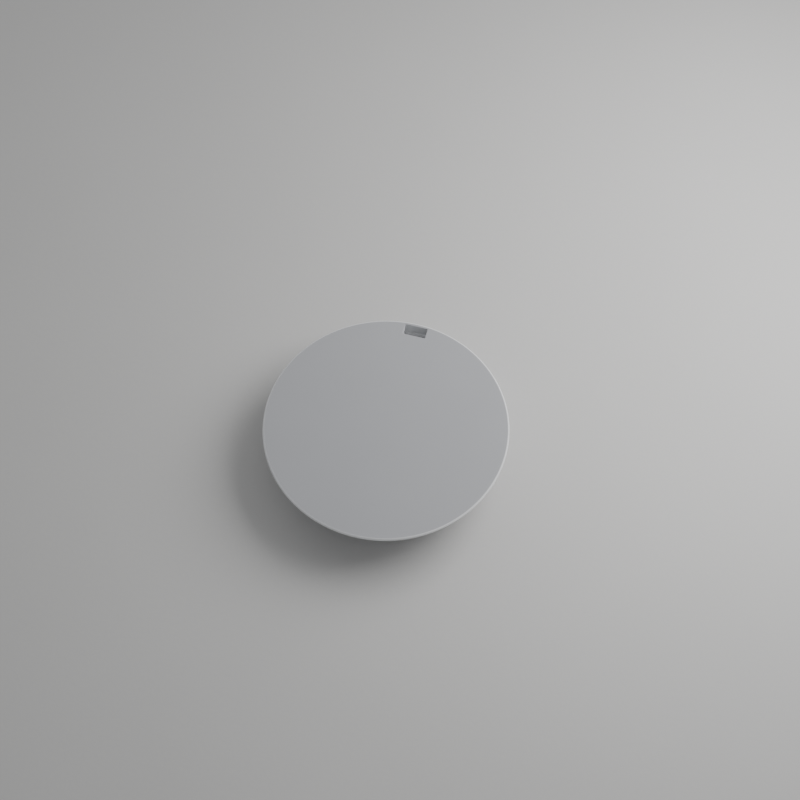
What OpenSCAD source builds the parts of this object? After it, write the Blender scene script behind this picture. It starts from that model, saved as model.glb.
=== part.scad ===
// Round key-finder tag: a flat floating cover that clicks as a button over a saucer-shaped rear
// shell, a screw-in battery door in its base, and a strap slot through the rim.
// Millimetres. +Z points out of the face, the strap slot lies on +Y, and the origin is the centre
// of the base.

/* [Overall] */
// Outside diameter of the tag
body_d = 38; // [38:0.5:42]
// Height from the base to the face
body_h = 8; // [8:0.1:8.6]
// Diameter of the flat ring that the tag rests on
base_d = 27.6; // [27.2:0.1:28.4]

/* [Front cover] */
// Thickness of the face
cover_t = 1.1; // [1:0.05:1.2]
// Depth of the rim, from the face down to the edge of the skirt
skirt_h = 2; // [1.9:0.05:2.05]
// Thickness of the skirt where it meets the face
skirt_t = 0.95; // [0.9:0.05:1]
// Thickness of the skirt at its lower edge
skirt_foot_t = 0.3; // [0.25:0.05:0.6]
// Radius of the outer edge of the face
edge_r = 0.3; // [0.2:0.05:0.4]
// Travel of the cover when it is pressed
press_travel = 0.2; // [0.1:0.05:0.25]

/* [Strap slot] */
// Length of the slot, along the rim
slot_w = 3.6; // [3:0.1:4]
// Width of the slot, across the rim
slot_d = 1.7; // [1.5:0.05:1.75]
// Thickness of the cover outside the slot
slot_bridge = 0.6; // [0.55:0.05:0.7]
// How far the rear shell's strap bar stands in under the slot
slot_ledge = 0.25; // [0.15:0.05:0.3]

/* [Rear shell] */
// Thickness of the upper wall
wall_t = 1.3; // [1.2:0.05:1.35]
// Gap between the skirt and the wall inside it
skirt_gap = 0.15; // [0.1:0.05:0.15]

/* [Battery door] */
// Diameter of the door
door_d = 24.6; // [24.4:0.1:24.8]
// Thickness of the door's disc
door_t = 1; // [0.9:0.05:1.05]
// Advance of the door's thread in one turn
thread_lead = 18; // [16:1:20]
// How many thread starts the door has
thread_starts = 3; // [2:1:4]

/* [Battery] */
// Diameter of the coin cell
cell_d = 20; // [19.9:0.05:20.1]
// Height of the coin cell
cell_h = 3.2; // [3.1:0.05:3.25]

/* [Circuit board] */
// Diameter of the board
pcb_d = 30.8; // [30.4:0.1:30.9]
// Thickness of the board
pcb_t = 0.8; // [0.7:0.05:0.8]
// Diameter of the sounder's brass plate
buzzer_d = 11.6; // [11:0.2:12]

/* [Hidden] */
$fn = 96;

// Colours
shell_white = [0.90, 0.90, 0.89];
inner_white = [0.86, 0.86, 0.84];
seal_grey = [0.30, 0.31, 0.33];
board_green = [0.07, 0.33, 0.22];
chip_black = [0.12, 0.12, 0.13];
nickel = [0.78, 0.77, 0.73];
steel = [0.80, 0.81, 0.82];
brass = [0.83, 0.66, 0.30];
gold = [0.86, 0.70, 0.30];
ceramic_white = [0.90, 0.88, 0.82];

// Small overlap that lets one solid run into the next
eps = 0.01;
// Face-to-face gap between pieces that touch
touch = 0.02;

// Heights, from the base up
door_recess = 0.1;
door_top = door_recess + door_t;
ring_top = door_top + 0.5;
cell_z = door_top + 0.2;
cell_top = cell_z + cell_h;
cover_under = body_h - cover_t;
skirt_z = body_h - skirt_h;
rim_top = cover_under - press_travel - 0.2;
pcb_top = cover_under - 1.1;
pcb_z = pcb_top - pcb_t;
bar_top = skirt_z - press_travel - 0.1;
bar_h = 1.3;

// Radii
body_r = body_d / 2;
skirt_in_r = body_r - skirt_t;
skirt_foot_r = skirt_in_r + skirt_foot_t;
rim_r = skirt_in_r - skirt_gap;
rim_in_r = rim_r - wall_t;
door_r = door_d / 2;
bore_r = door_r + 0.15;
lug_r = door_r + 0.75;
lug_room_r = lug_r + 0.25;
cell_r = cell_d / 2;
cradle_in_r = cell_r + 0.25;
pcb_r = pcb_d / 2;

// Strap slot, as the cover's opening
slot_far = body_r - slot_bridge;
slot_near = slot_far - slot_d;
slot_wall = 0.75;
ear_r = slot_w / 2 + 2.2;
ear_y = slot_near - 1.1;

// Door thread: the lug's foot is the place where its turn is counted from
ledge_top = door_top - 0.15;
lug_z = door_top - 0.1;
lug_width = 14;
thread_play = 2;
deg_per_mm = 360 / thread_lead;

// Screws that hold the board
screw_r = 14.2;
screw_angles = [90, 210, 330];
boss_r = 1.15;
pilot_r = 0.5;

// Studs that hold the cradle
stud_r = 12.2;
stud_angles = [30, 150, 270];

// Snap hooks of the cover
hook_angles = [45, 135, 225, 315];
hook_w = 3;
hook_t = 0.65;
hook_out = rim_in_r - 0.2;
barb_out = hook_out + 0.5;
barb_top = rim_top - 0.7;
barb_h = 0.5;

// Sounder, beside the button
buzzer_y = -8;
buzzer_r = buzzer_d / 2;
buzzer_ring_t = 0.25;
buzzer_plate_t = 0.15;
buzzer_ceramic_t = 0.12;
ceramic_r = buzzer_r * 0.76;
plate_z = cover_under - buzzer_ring_t - buzzer_plate_t;
ceramic_z = plate_z - buzzer_ceramic_t;

// Button under the middle of the cover
switch_side = 3.4;
pad_t = 0.3;
plunger_top = cover_under - pad_t - touch;
plunger_h = 0.24;
frame_t = 0.08;
dome_z = pcb_top + 0.22;
dome_top = plunger_top - plunger_h - touch;
switch_top = dome_top + touch + 0.1;

// Points of an arc about [cx, cy] from angle a0 to a1
function arc(cx, cy, r, a0, a1, n = 8) =
    [for (i = [0:n]) let (a = a0 + (a1 - a0) * i / n) [cx + r * cos(a), cy + r * sin(a)]];

// Points of a curve that leaves p0 towards p1 and reaches p2 from it
function bend(p0, p1, p2, n = 16) =
    [for (i = [0:n]) let (t = i / n) (1 - t) * (1 - t) * p0 + 2 * t * (1 - t) * p1 + t * t * p2];

// Ring about Z
module ring(r_out, r_in, z, h) {
    translate([0, 0, z])
        difference() {
            cylinder(r = r_out, h = h);
            translate([0, 0, -eps]) cylinder(r = r_in, h = h + 2 * eps);
        }
}

// Block centred on [x, y], with its foot at z
module block(x, y, z, size, turn = 0) {
    translate([x, y, z + size[2] / 2]) rotate([0, 0, turn]) cube(size, center = true);
}

// An outline in radius and height, drawn w wide at the given angle about Z
module strip(angle, w) {
    rotate([0, 0, angle]) rotate([90, 0, 0]) linear_extrude(height = w, center = true) children();
}

// Block over the strap slot, grown by margin on each side along the rim
module slot_block(near, far, z0, z1, margin = 0) {
    translate([-slot_w / 2 - margin, near, z0])
        cube([slot_w + 2 * margin, far - near, z1 - z0]);
}

// Thread band between two radii: a sector that climbs with the door's thread from z0 to z1
module thread_band(r_in, r_out, width, z0, z1) {
    climb = z1 - z0;
    translate([0, 0, z0])
        rotate([0, 0, (z0 - lug_z) * deg_per_mm])
            linear_extrude(height = climb, twist = -climb * deg_per_mm, slices = 6, $fn = 8)
                polygon(concat(
                    arc(0, 0, r_out, -width / 2, width / 2, 3),
                    arc(0, 0, r_in, width / 2, -width / 2, 3)
                ));
}

module at_starts() {
    for (i = [0:thread_starts - 1]) rotate([0, 0, 60 + i * 360 / thread_starts]) children();
}

// ---- Front cover and what is fixed to it ----

// The skirt leans in towards its lower edge, so the face overhangs it
module cover_outline() {
    polygon(concat(
        [[0, cover_under], [skirt_in_r, cover_under], [skirt_in_r, skirt_z], [skirt_foot_r, skirt_z]],
        arc(body_r - edge_r, body_h - edge_r, edge_r, 0, 90),
        [[0, body_h]]
    ));
}

// Ear on the skirt that keeps the bridge outside the slot thick
module cover_ear() {
    ear_h = body_h - edge_r - skirt_z;
    translate([0, 0, skirt_z])
        difference() {
            intersection() {
                cylinder(r = body_r - 0.02, h = ear_h);
                translate([0, ear_y, 0]) cylinder(r = ear_r, h = ear_h);
            }
            translate([0, 0, -eps]) cylinder(r = skirt_in_r, h = cover_under - skirt_z + eps);
        }
}

module cover_hook() {
    strip(0, hook_w)
        polygon([
            [hook_out - hook_t, cover_under + eps],
            [hook_out, cover_under + eps],
            [hook_out, barb_top],
            [barb_out, barb_top],
            [hook_out, barb_top - barb_h],
            [hook_out - hook_t, barb_top - barb_h]
        ]);
}

module front_cover() {
    color(shell_white)
        difference() {
            union() {
                rotate_extrude() cover_outline();
                cover_ear();
                for (a = hook_angles) rotate([0, 0, a]) cover_hook();
            }
            slot_block(slot_near, slot_far, skirt_z - 1, body_h + 1);
        }
}

// Rubber disc with a nib that follows the plunger into the switch
module button_pad() {
    disc_t = 0.1;
    color(seal_grey)
        union() {
            translate([0, 0, cover_under - disc_t]) cylinder(r = 1.4, h = disc_t);
            translate([0, 0, cover_under - pad_t]) cylinder(r = 0.65, h = pad_t);
        }
}

module buzzer_ring() {
    color(seal_grey)
        translate([0, buzzer_y, 0])
            ring(buzzer_r + 0.1, buzzer_r - 0.7, cover_under - buzzer_ring_t, buzzer_ring_t);
}

module buzzer_plate() {
    color(brass)
        translate([0, buzzer_y, plate_z]) cylinder(r = buzzer_r, h = buzzer_plate_t);
}

module buzzer_ceramic() {
    color(ceramic_white)
        translate([0, buzzer_y, ceramic_z]) cylinder(r = ceramic_r, h = buzzer_ceramic_t);
}

// ---- Rear shell ----

// Saucer outline: flat base ring, flared side, upright rim
module saucer_outline() {
    polygon(concat(
        [[0, 0]],
        bend([base_d / 2, 0], [base_d / 2 + 2.4, 1], [rim_r, bar_top]),
        [[rim_r, rim_top], [0, rim_top]]
    ));
}

// Room inside the saucer, above the door's lugs
module saucer_room() {
    lug_room_top = ring_top + 0.3;
    polygon(concat(
        [[0, ledge_top], [lug_room_r, ledge_top]],
        bend([lug_room_r, lug_room_top], [lug_room_r + 2.3, lug_room_top + 0.4], [rim_in_r, bar_top]),
        [[rim_in_r, rim_top + 1], [0, rim_top + 1]]
    ));
}

module saucer() {
    difference() {
        rotate_extrude() saucer_outline();
        rotate_extrude() saucer_room();
        translate([0, 0, -eps]) cylinder(r = bore_r, h = ledge_top + 2 * eps);
    }
}

// Walls round the strap slot, kept inside the saucer's outline
module slot_walls() {
    intersection() {
        rotate_extrude() saucer_outline();
        slot_block(slot_near - slot_wall, body_r, ring_top + 0.3, rim_top, slot_wall);
    }
}

// Rounded lug under the skirt, which carries the strap
module strap_bar() {
    intersection() {
        cylinder(r = body_r - 0.3, h = bar_top);
        slot_block(slot_near - slot_wall, body_r, bar_top - bar_h, bar_top, ear_r);
        translate([0, ear_y, 0]) cylinder(r = ear_r, h = bar_top);
    }
}

// Bosses for the board screws, standing on the saucer's side and clear of the door's lugs
module screw_bosses() {
    boss_h = pcb_z - ledge_top;
    difference() {
        intersection() {
            rotate_extrude() saucer_outline();
            for (a = screw_angles)
                rotate([0, 0, a])
                    translate([screw_r, 0, ledge_top]) {
                        cylinder(r = boss_r, h = boss_h, $fn = 48);
                        translate([0, -0.4, 0]) cube([3, 0.8, boss_h - 1]);
                    }
        }
        translate([0, 0, ledge_top - eps]) cylinder(r = lug_room_r, h = ring_top + 0.3 - ledge_top);
    }
}

// Dots that show where the door's own dot stands when it is shut and when it is loose
module door_marks() {
    loose_turn = ring_top * deg_per_mm;
    for (a = [90, 90 - loose_turn])
        rotate([0, 0, a])
            translate([bore_r + 0.65, 0, -1]) cylinder(r = 0.3, h = 1.15, $fn = 32);
}

module rear_shell() {
    color(shell_white)
        difference() {
            union() {
                saucer();
                slot_walls();
                strap_bar();
                screw_bosses();
            }
            door_marks();
            slot_block(slot_near, slot_far - slot_ledge, -1, rim_top + 1);
            for (a = screw_angles)
                rotate([0, 0, a])
                    translate([screw_r, 0, pcb_z - 2.5]) cylinder(r = pilot_r, h = 3, $fn = 32);
            for (a = hook_angles)
                rotate([0, 0, a])
                    block(barb_out - 0.35, 0, barb_top - barb_h - press_travel - 0.15,
                        [1, hook_w + 0.4, barb_h + press_travel + 0.25]);
            at_starts()
                thread_band(bore_r - 0.5, lug_room_r - 0.05, lug_width + 2 * thread_play,
                    -0.1, ledge_top + 0.1);
        }
}

// Foam seal between the rim and the cover, led round the inside of the slot
module cover_gasket() {
    color(seal_grey)
        translate([0, 0, rim_top])
            difference() {
                intersection() {
                    cylinder(r = rim_r - 0.1, h = cover_under - touch - rim_top);
                    union() {
                        ring(rim_r, rim_in_r + 0.4, -1, 3);
                        slot_block(slot_near - slot_wall + 0.1, body_r, -1, 2, slot_wall - 0.1);
                    }
                }
                slot_block(slot_near - 0.15, body_r, -1, 2, 0.15);
            }
}

// ---- Battery holder ----

module battery_cradle() {
    plate_z0 = cell_top + 0.1;
    foot_z = ring_top + 0.35;
    contact_w = 3.6;
    color(inner_white)
        difference() {
            union() {
                ring(cradle_in_r + 1.05, cradle_in_r, foot_z, pcb_z - foot_z);
                ring(cradle_in_r + 2.2, cradle_in_r, foot_z, 0.5);
                ring(cradle_in_r + 0.5, 7.2, plate_z0, pcb_z - plate_z0);
                for (a = stud_angles) rotate([0, 0, a]) cradle_stud(plate_z0);
            }
            block(cradle_in_r + 0.9, 0, foot_z + 0.5, [3.6, contact_w, pcb_z - foot_z]);
        }
}

// Ear with a stud that passes through the board and is spread over it
module cradle_stud(z) {
    block(stud_r - 0.6, 0, z, [1.6, 2, pcb_z - z]);
    translate([stud_r, 0, z]) cylinder(r = 1, h = pcb_z - z, $fn = 40);
    translate([stud_r, 0, pcb_z - eps]) cylinder(r = 0.45, h = pcb_t + 2 * eps, $fn = 32);
    translate([stud_r, 0, pcb_top]) cylinder(r = 0.75, h = 0.18, $fn = 40);
}

// Side leaf that presses on the can
module positive_contact() {
    leaf_t = 0.15;
    inner = cell_r + 0.04;
    color(nickel)
        strip(0, 3)
            polygon([
                [inner + leaf_t, cell_z + 1.4],
                [inner + leaf_t, pcb_z - leaf_t],
                [inner + 2.3, pcb_z - leaf_t],
                [inner + 2.3, pcb_z],
                [inner, pcb_z],
                [inner, cell_z + 1.4]
            ]);
}

// Ring soldered under the board, with three arms sloping down to a disc on the cell's cap
module negative_contact() {
    leaf_t = 0.14;
    disc_z = cell_top + touch;
    color(nickel)
        union() {
            ring(6, 4.8, pcb_z - leaf_t, leaf_t);
            translate([0, 0, disc_z]) cylinder(r = 1.6, h = leaf_t, $fn = 48);
            for (a = [30, 150, 270])
                strip(a, 1.1)
                    polygon([
                        [1.2, disc_z],
                        [5, pcb_z - leaf_t],
                        [5, pcb_z],
                        [1.2, disc_z + leaf_t]
                    ]);
        }
}

// ---- Circuit board and what is soldered to it ----

module pcb() {
    flat_y = slot_near - slot_wall - 0.3;
    color(board_green)
        difference() {
            translate([0, 0, pcb_z]) cylinder(r = pcb_r, h = pcb_t);
            translate([-pcb_r, flat_y, pcb_z - 1]) cube([pcb_d, 3, pcb_t + 2]);
            for (a = screw_angles)
                rotate([0, 0, a])
                    translate([screw_r, 0, pcb_z - 1]) cylinder(r = 0.6, h = pcb_t + 2, $fn = 32);
            for (a = stud_angles)
                rotate([0, 0, a])
                    translate([stud_r, 0, pcb_z - 1]) cylinder(r = 0.5, h = pcb_t + 2, $fn = 32);
        }
}

// Pan-head screw with a cross recess
module pcb_screw() {
    head_h = 0.45;
    difference() {
        union() {
            translate([0, 0, pcb_top]) cylinder(r1 = 0.95, r2 = 0.8, h = head_h, $fn = 40);
            translate([0, 0, pcb_z - 2.2]) cylinder(r = 0.44, h = pcb_t + 2.2 + eps, $fn = 32);
        }
        for (turn = [0, 90])
            block(0, 0, pcb_top + head_h - 0.2, [1, 0.22, 0.5], turn);
    }
}

module pcb_screws() {
    color(steel)
        for (a = screw_angles)
            rotate([0, 0, a]) translate([screw_r, 0, 0]) pcb_screw();
}

module soc_chip() {
    color(chip_black)
        difference() {
            block(-7.6, 2.6, pcb_top, [5, 5, 0.6]);
            translate([-9.5, 4.5, pcb_top + 0.55]) cylinder(r = 0.3, h = 1, $fn = 24);
        }
}

module boost_chip() {
    color(chip_black) block(7.4, 4.6, pcb_top, [2, 2, 0.5]);
}

module main_crystal() {
    color(steel)
        union() {
            block(-6.4, 7.2, pcb_top, [2.5, 2, 0.3]);
            block(-6.4, 7.2, pcb_top + 0.3, [2.1, 1.6, 0.2]);
        }
}

module clock_crystal() {
    color(steel)
        union() {
            block(-12, 2.4, pcb_top, [1.5, 3.2, 0.35]);
            block(-12, 2.4, pcb_top + 0.35, [1.1, 2.8, 0.2]);
        }
}

// Ceramic aerial near the edge, with a tinned band at each end
module chip_antenna() {
    color(ceramic_white)
        translate([7, 10.6, 0])
            rotate([0, 0, -34])
                union() {
                    block(0, 0, pcb_top, [5.2, 2, 0.6]);
                    for (side = [-1, 1]) block(side * 2.65, 0, pcb_top, [0.5, 2.1, 0.65]);
                }
}

module power_inductor() {
    color([0.24, 0.24, 0.26])
        union() {
            block(9.8, -1.2, pcb_top, [3, 3, 0.18]);
            translate([9.8, -1.2, pcb_top + 0.18 - eps]) cylinder(r = 1.1, h = 0.3 + 2 * eps, $fn = 48);
            block(9.8, -1.2, pcb_top + 0.48, [3, 3, 0.17]);
        }
}

// A row of two-ended chips: count of them from [x, y], a pitch apart along Y
module chip_row(x, y, count, size, pitch = 1.3) {
    for (i = [0:count - 1]) block(x, y + i * pitch, pcb_top, size);
}

module capacitors() {
    size = [1, 0.55, 0.5];
    color([0.66, 0.52, 0.38])
        union() {
            chip_row(-3.6, 3.2, 4, size);
            chip_row(3.6, 5.4, 3, size);
            chip_row(12.6, 1, 2, size);
        }
}

module resistors() {
    size = [1, 0.5, 0.32];
    color(chip_black)
        union() {
            chip_row(-9.6, -3.4, 3, size);
            chip_row(5.3, 1, 3, size);
            chip_row(0, 8.2, 2, size);
        }
}

// Plated pads under the board, outside the cradle
module test_pads() {
    pad_h = 0.04;
    color(gold)
        for (a = [224:9:260])
            rotate([0, 0, a])
                translate([13.6, 0, pcb_z - pad_h]) cylinder(r = 0.5, h = pad_h, $fn = 32);
}

// Bent leaf that stands on the board and reaches up to height top
module leaf_spring(top) {
    leaf_t = 0.1;
    rise = top - pcb_top;
    color(gold)
        rotate([90, 0, 0])
            linear_extrude(height = 1.1, center = true)
                polygon([
                    [-1.2, pcb_top],
                    [1.1, pcb_top],
                    [1.1, pcb_top + leaf_t],
                    [-0.9, pcb_top + leaf_t],
                    [0.7, pcb_top + rise - leaf_t],
                    [1.1, pcb_top + rise - leaf_t],
                    [1.1, pcb_top + rise],
                    [0.6, pcb_top + rise],
                    [-1.2, pcb_top + 1.5 * leaf_t]
                ]);
}

// One leaf reaches the ceramic and the other the brass beside it
module buzzer_contacts() {
    brass_x = (buzzer_r - 0.7 + ceramic_r) / 2 - 0.9;
    union() {
        translate([0, buzzer_y, 0]) leaf_spring(ceramic_z - touch);
        translate([brass_x, buzzer_y + 1.8, 0]) leaf_spring(ceramic_z - touch);
    }
}

// ---- Tact switch ----

module switch_base() {
    color(chip_black)
        difference() {
            block(0, 0, pcb_top, [switch_side, switch_side, switch_top - pcb_top]);
            translate([0, 0, dome_z]) cylinder(r = 1.35, h = 2);
        }
}

// Snap dome: the cap of a thin sphere
module switch_dome() {
    dome_r = 1.15;
    dome_t = 0.06;
    rise = dome_top - dome_z - dome_t;
    sphere_r = (dome_r * dome_r + rise * rise) / (2 * rise);
    half_angle = asin(dome_r / sphere_r);
    centre_z = dome_top - sphere_r;
    color(steel)
        rotate_extrude()
            polygon(concat(
                arc(0, centre_z, sphere_r, 90 - half_angle, 90, 10),
                arc(0, centre_z, sphere_r - dome_t, 90, 90 - half_angle, 10)
            ));
}

module switch_frame() {
    color(steel)
        difference() {
            block(0, 0, switch_top, [switch_side, switch_side, frame_t]);
            translate([0, 0, switch_top - 1]) cylinder(r = 0.82, h = 2);
        }
}

module switch_plunger() {
    foot = plunger_top - plunger_h;
    color(chip_black)
        union() {
            translate([0, 0, foot]) cylinder(r = 1, h = 0.08);
            translate([0, 0, foot]) cylinder(r = 0.75, h = plunger_h);
        }
}

// ---- Battery door ----

module battery_door() {
    coin_slot = [13, 1.7, 0.5];
    groove_r = door_r - 0.65;
    color(shell_white)
        difference() {
            union() {
                translate([0, 0, door_recess]) cylinder(r = door_r, h = door_t);
                ring(door_r, door_r - 1.3, door_top - eps, ring_top - door_top + eps);
                at_starts() thread_band(door_r - 0.3, lug_r, lug_width, lug_z, ring_top);
            }
            block(0, 0, door_recess - 1, [coin_slot[0] - coin_slot[1], coin_slot[1], coin_slot[2] + 1]);
            for (side = [-1, 1])
                translate([side * (coin_slot[0] - coin_slot[1]) / 2, 0, door_recess - 1])
                    cylinder(r = coin_slot[1] / 2, h = coin_slot[2] + 1, $fn = 48);
            translate([0, door_r - 1.1, door_recess - 1]) cylinder(r = 0.4, h = 1.15, $fn = 32);
            ring(groove_r + 0.29, groove_r - 0.29, ring_top - 0.24, 1);
        }
}

module door_seal() {
    color(seal_grey)
        rotate_extrude() translate([door_r - 0.65, ring_top + 0.03]) circle(r = 0.25, $fn = 24);
}

// ---- Coin cell ----

module cell_can() {
    metal = 0.25;
    lip = 0.25;
    color(steel)
        translate([0, 0, cell_z])
            rotate_extrude()
                polygon([
                    [0, 0], [cell_r - lip, 0], [cell_r, lip],
                    [cell_r, cell_h - 0.6], [cell_r - 0.45, cell_h - 0.3],
                    [cell_r - 0.6, cell_h - 0.45], [cell_r - metal, cell_h - 0.75],
                    [cell_r - metal, metal], [0, metal]
                ]);
}

module cell_cap() {
    metal = 0.25;
    cap_r = cell_r - 1.1;
    color(nickel)
        translate([0, 0, cell_z])
            rotate_extrude()
                polygon([
                    [0, cell_h - metal], [cap_r - metal, cell_h - metal],
                    [cap_r - metal, 1.9], [cap_r + 0.4, 1.9], [cap_r + 0.4, 2.1], [cap_r, 2.1],
                    [cap_r, cell_h - 0.2], [cap_r - 0.2, cell_h], [0, cell_h]
                ]);
}

// Insulating ring between the can and the cap
module cell_gasket() {
    cap_r = cell_r - 1.1;
    color(seal_grey)
        translate([0, 0, cell_z])
            rotate_extrude()
                polygon([
                    [cap_r + 0.03, 1.6], [cell_r - 0.28, 1.6], [cell_r - 0.28, 2.4],
                    [cap_r + 0.45, cell_h - 0.55], [cap_r + 0.03, cell_h - 0.55],
                    [cap_r + 0.03, 2.13], [cap_r + 0.43, 2.13], [cap_r + 0.43, 1.87],
                    [cap_r + 0.03, 1.87]
                ]);
}

module cathode_pellet() {
    color([0.18, 0.18, 0.18])
        translate([0, 0, cell_z + 0.27]) cylinder(r = cell_r - 1.6, h = 1.55);
}

module separator() {
    color([0.93, 0.93, 0.90])
        translate([0, 0, cell_z + 1.84]) cylinder(r = cell_r - 1.5, h = 0.06);
}

module lithium_disc() {
    color([0.72, 0.72, 0.74])
        translate([0, 0, cell_z + 1.92]) cylinder(r = cell_r - 1.7, h = cell_h - 0.25 - 1.92 - touch);
}

front_cover();
button_pad();
buzzer_ring();
buzzer_plate();
buzzer_ceramic();
rear_shell();
cover_gasket();
battery_cradle();
positive_contact();
negative_contact();
pcb();
pcb_screws();
soc_chip();
boost_chip();
main_crystal();
clock_crystal();
chip_antenna();
power_inductor();
capacitors();
resistors();
test_pads();
buzzer_contacts();
switch_base();
switch_dome();
switch_frame();
switch_plunger();
battery_door();
door_seal();
cell_can();
cell_cap();
cell_gasket();
cathode_pellet();
separator();
lithium_disc();
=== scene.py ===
"""Round key-finder tag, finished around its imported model.

Every length is in metres. +Z points out of the face, the strap slot lies on +Y, and the origin is
the centre of the base. Outlines of turned pieces are lists of (radius, height).
"""

import math

import bmesh
import bpy
from bpy.props import FloatProperty, FloatVectorProperty, IntProperty, PointerProperty
from mathutils import Matrix, Vector


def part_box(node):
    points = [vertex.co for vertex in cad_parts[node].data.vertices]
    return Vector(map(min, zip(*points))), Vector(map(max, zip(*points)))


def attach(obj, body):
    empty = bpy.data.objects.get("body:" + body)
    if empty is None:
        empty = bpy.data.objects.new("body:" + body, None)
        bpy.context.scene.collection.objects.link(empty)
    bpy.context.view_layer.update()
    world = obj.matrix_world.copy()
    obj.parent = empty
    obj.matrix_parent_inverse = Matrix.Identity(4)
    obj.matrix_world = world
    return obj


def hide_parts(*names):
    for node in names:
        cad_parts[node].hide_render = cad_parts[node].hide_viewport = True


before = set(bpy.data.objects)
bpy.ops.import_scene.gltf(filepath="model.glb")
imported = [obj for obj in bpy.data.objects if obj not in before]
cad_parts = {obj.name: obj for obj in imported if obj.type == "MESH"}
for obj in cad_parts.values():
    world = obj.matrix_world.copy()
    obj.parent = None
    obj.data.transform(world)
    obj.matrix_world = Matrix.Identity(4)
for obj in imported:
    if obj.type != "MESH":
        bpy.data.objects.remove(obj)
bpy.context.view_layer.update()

bl_info = {
    "name": "Round Key-Finder Tag",
    "version": (1, 0, 0),
    "blender": (4, 5, 0),
    "location": "3D View > Sidebar > Tag",
    "description": "Builds a round key-finder tag around its packed model",
    "category": "Object",
}

MM = 0.001
# Points closer than this are one point
MERGE_DISTANCE = 0.001 * MM
# How far a cutting solid runs past the surface that it opens
OVERRUN = 0.5 * MM
# Smooth shading ends where two faces meet at more than this
SHARP_ANGLE = math.radians(32)


# ---- Places read from the frame ----

def low(node):
    """Lowest corner of a CAD node's box."""
    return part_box(node)[0]


def high(node):
    """Highest corner of a CAD node's box."""
    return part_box(node)[1]


BODY_R = high("front_cover").x
FACE_Z = high("front_cover").z
HOOK_Z = low("front_cover").z
RIM_R = high("rear_shell").x
RIM_Z = high("rear_shell").z
BAR_R = high("rear_shell").y
DOOR_R = high("battery_door").x
LUG_R = -low("battery_door").x
DOOR_Z = low("battery_door").z
DOOR_TOP = high("battery_door").z
SEAL_Z = high("door_seal").z
CELL_R = high("cell_can").x
CELL_Z = low("cell_can").z
CELL_TOP = high("cell_cap").z
BOARD_R = high("pcb").x
BOARD_Z = low("pcb").z
BOARD_TOP = high("pcb").z


# ---- Sizes and colours that the sidebar shows ----

def size(label, description, millimetres):
    """A length, given in millimetres."""
    return FloatProperty(name=label, description=description, default=millimetres * MM,
                         unit="LENGTH", precision=5)


def turn(label, description, degrees):
    """An angle, given in degrees."""
    return FloatProperty(name=label, description=description, default=math.radians(degrees),
                         subtype="ANGLE")


def amount(label, description, value):
    """A plain number."""
    return FloatProperty(name=label, description=description, default=value, min=0)


def count(label, description, value):
    """How many there are of something."""
    return IntProperty(name=label, description=description, default=value, min=1)


def paint(label, description, colour):
    """A linear colour."""
    return FloatVectorProperty(name=label, description=description, default=colour, size=3,
                               min=0, max=1, subtype="COLOR")


class CoverSizes(bpy.types.PropertyGroup):
    face_wall: size("Face wall", "Thickness of the face", 1.1)
    skirt_depth: size("Skirt depth", "From the face down to the skirt's edge", 2)
    skirt_wall: size("Skirt wall", "Thickness of the skirt where it meets the face", 0.95)
    skirt_foot: size("Skirt foot", "Thickness of the skirt at its lower edge", 0.3)
    edge_radius: size("Edge radius", "Radius of the face's outer edge", 0.3)
    slot_length: size("Slot length", "Length of the strap slot, along the rim", 3.6)
    slot_width: size("Slot width", "Width of the strap slot, across the rim", 1.7)
    slot_bridge: size("Slot bridge", "Thickness of the cover outside the slot", 0.6)
    slot_rounding: size("Slot rounding", "Radius of the slot's edge in the face", 0.12)
    hook_width: size("Hook width", "Width of a snap hook", 3)
    hook_wall: size("Hook wall", "Thickness of a snap hook", 0.65)
    colour: paint("Cover colour", "Colour of the cover's plastic", (0.49, 0.495, 0.515))


class ShellSizes(bpy.types.PropertyGroup):
    base_width: size("Base width", "Diameter of the ring that the tag rests on", 27.6)
    wall: size("Wall", "Thickness of the upper wall", 1.3)
    bar_height: size("Bar height", "Height of the strap bar", 1.3)
    bar_gap: size("Bar gap", "From the strap bar up to the skirt", 0.3)
    slot_ledge: size("Slot ledge", "How far the bar stands in under the slot", 0.25)
    slot_wall: size("Slot wall", "Wall round the slot", 0.75)
    screw_radius: size("Screw radius", "From the centre to a board screw", 14.2)
    colour: paint("Shell colour", "Colour of the shell's plastic", (0.66, 0.665, 0.68))


class DoorSizes(bpy.types.PropertyGroup):
    disc: size("Disc", "Thickness of the door's disc", 1)
    ring_wall: size("Ring wall", "Width of the raised ring that holds the seal", 1.3)
    coin_length: size("Coin slot length", "Length of the coin slot", 13)
    coin_width: size("Coin slot width", "Width of the coin slot", 1.7)
    coin_depth: size("Coin slot depth", "Depth of the coin slot", 0.5)
    thread_lead: size("Thread lead", "Rise of the thread in one turn", 18)
    thread_starts: count("Thread starts", "How many lugs the door has", 3)
    lug_angle: turn("Lug angle", "Length of a lug round the door", 14)


class CellSizes(bpy.types.PropertyGroup):
    metal: size("Metal", "Thickness of the can and the cap", 0.25)
    cap_inset: size("Cap inset", "From the can's side to the cap's side", 1.1)
    mark: size("Mark", "Length of the plus sign in the can", 4.2)


class BoardSizes(bpy.types.PropertyGroup):
    stud_radius: size("Stud radius", "From the centre to a cradle stud", 12.2)
    via_width: size("Via width", "Diameter of a plated hole", 0.34)
    vias: amount("Vias", "Plated holes per square metre", 260000)
    tin_length: size("Tinned length", "Length of a chip's tinned end", 0.24)
    mask: paint("Solder mask", "Colour of the board's lacquer", (0.012, 0.085, 0.045))


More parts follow.
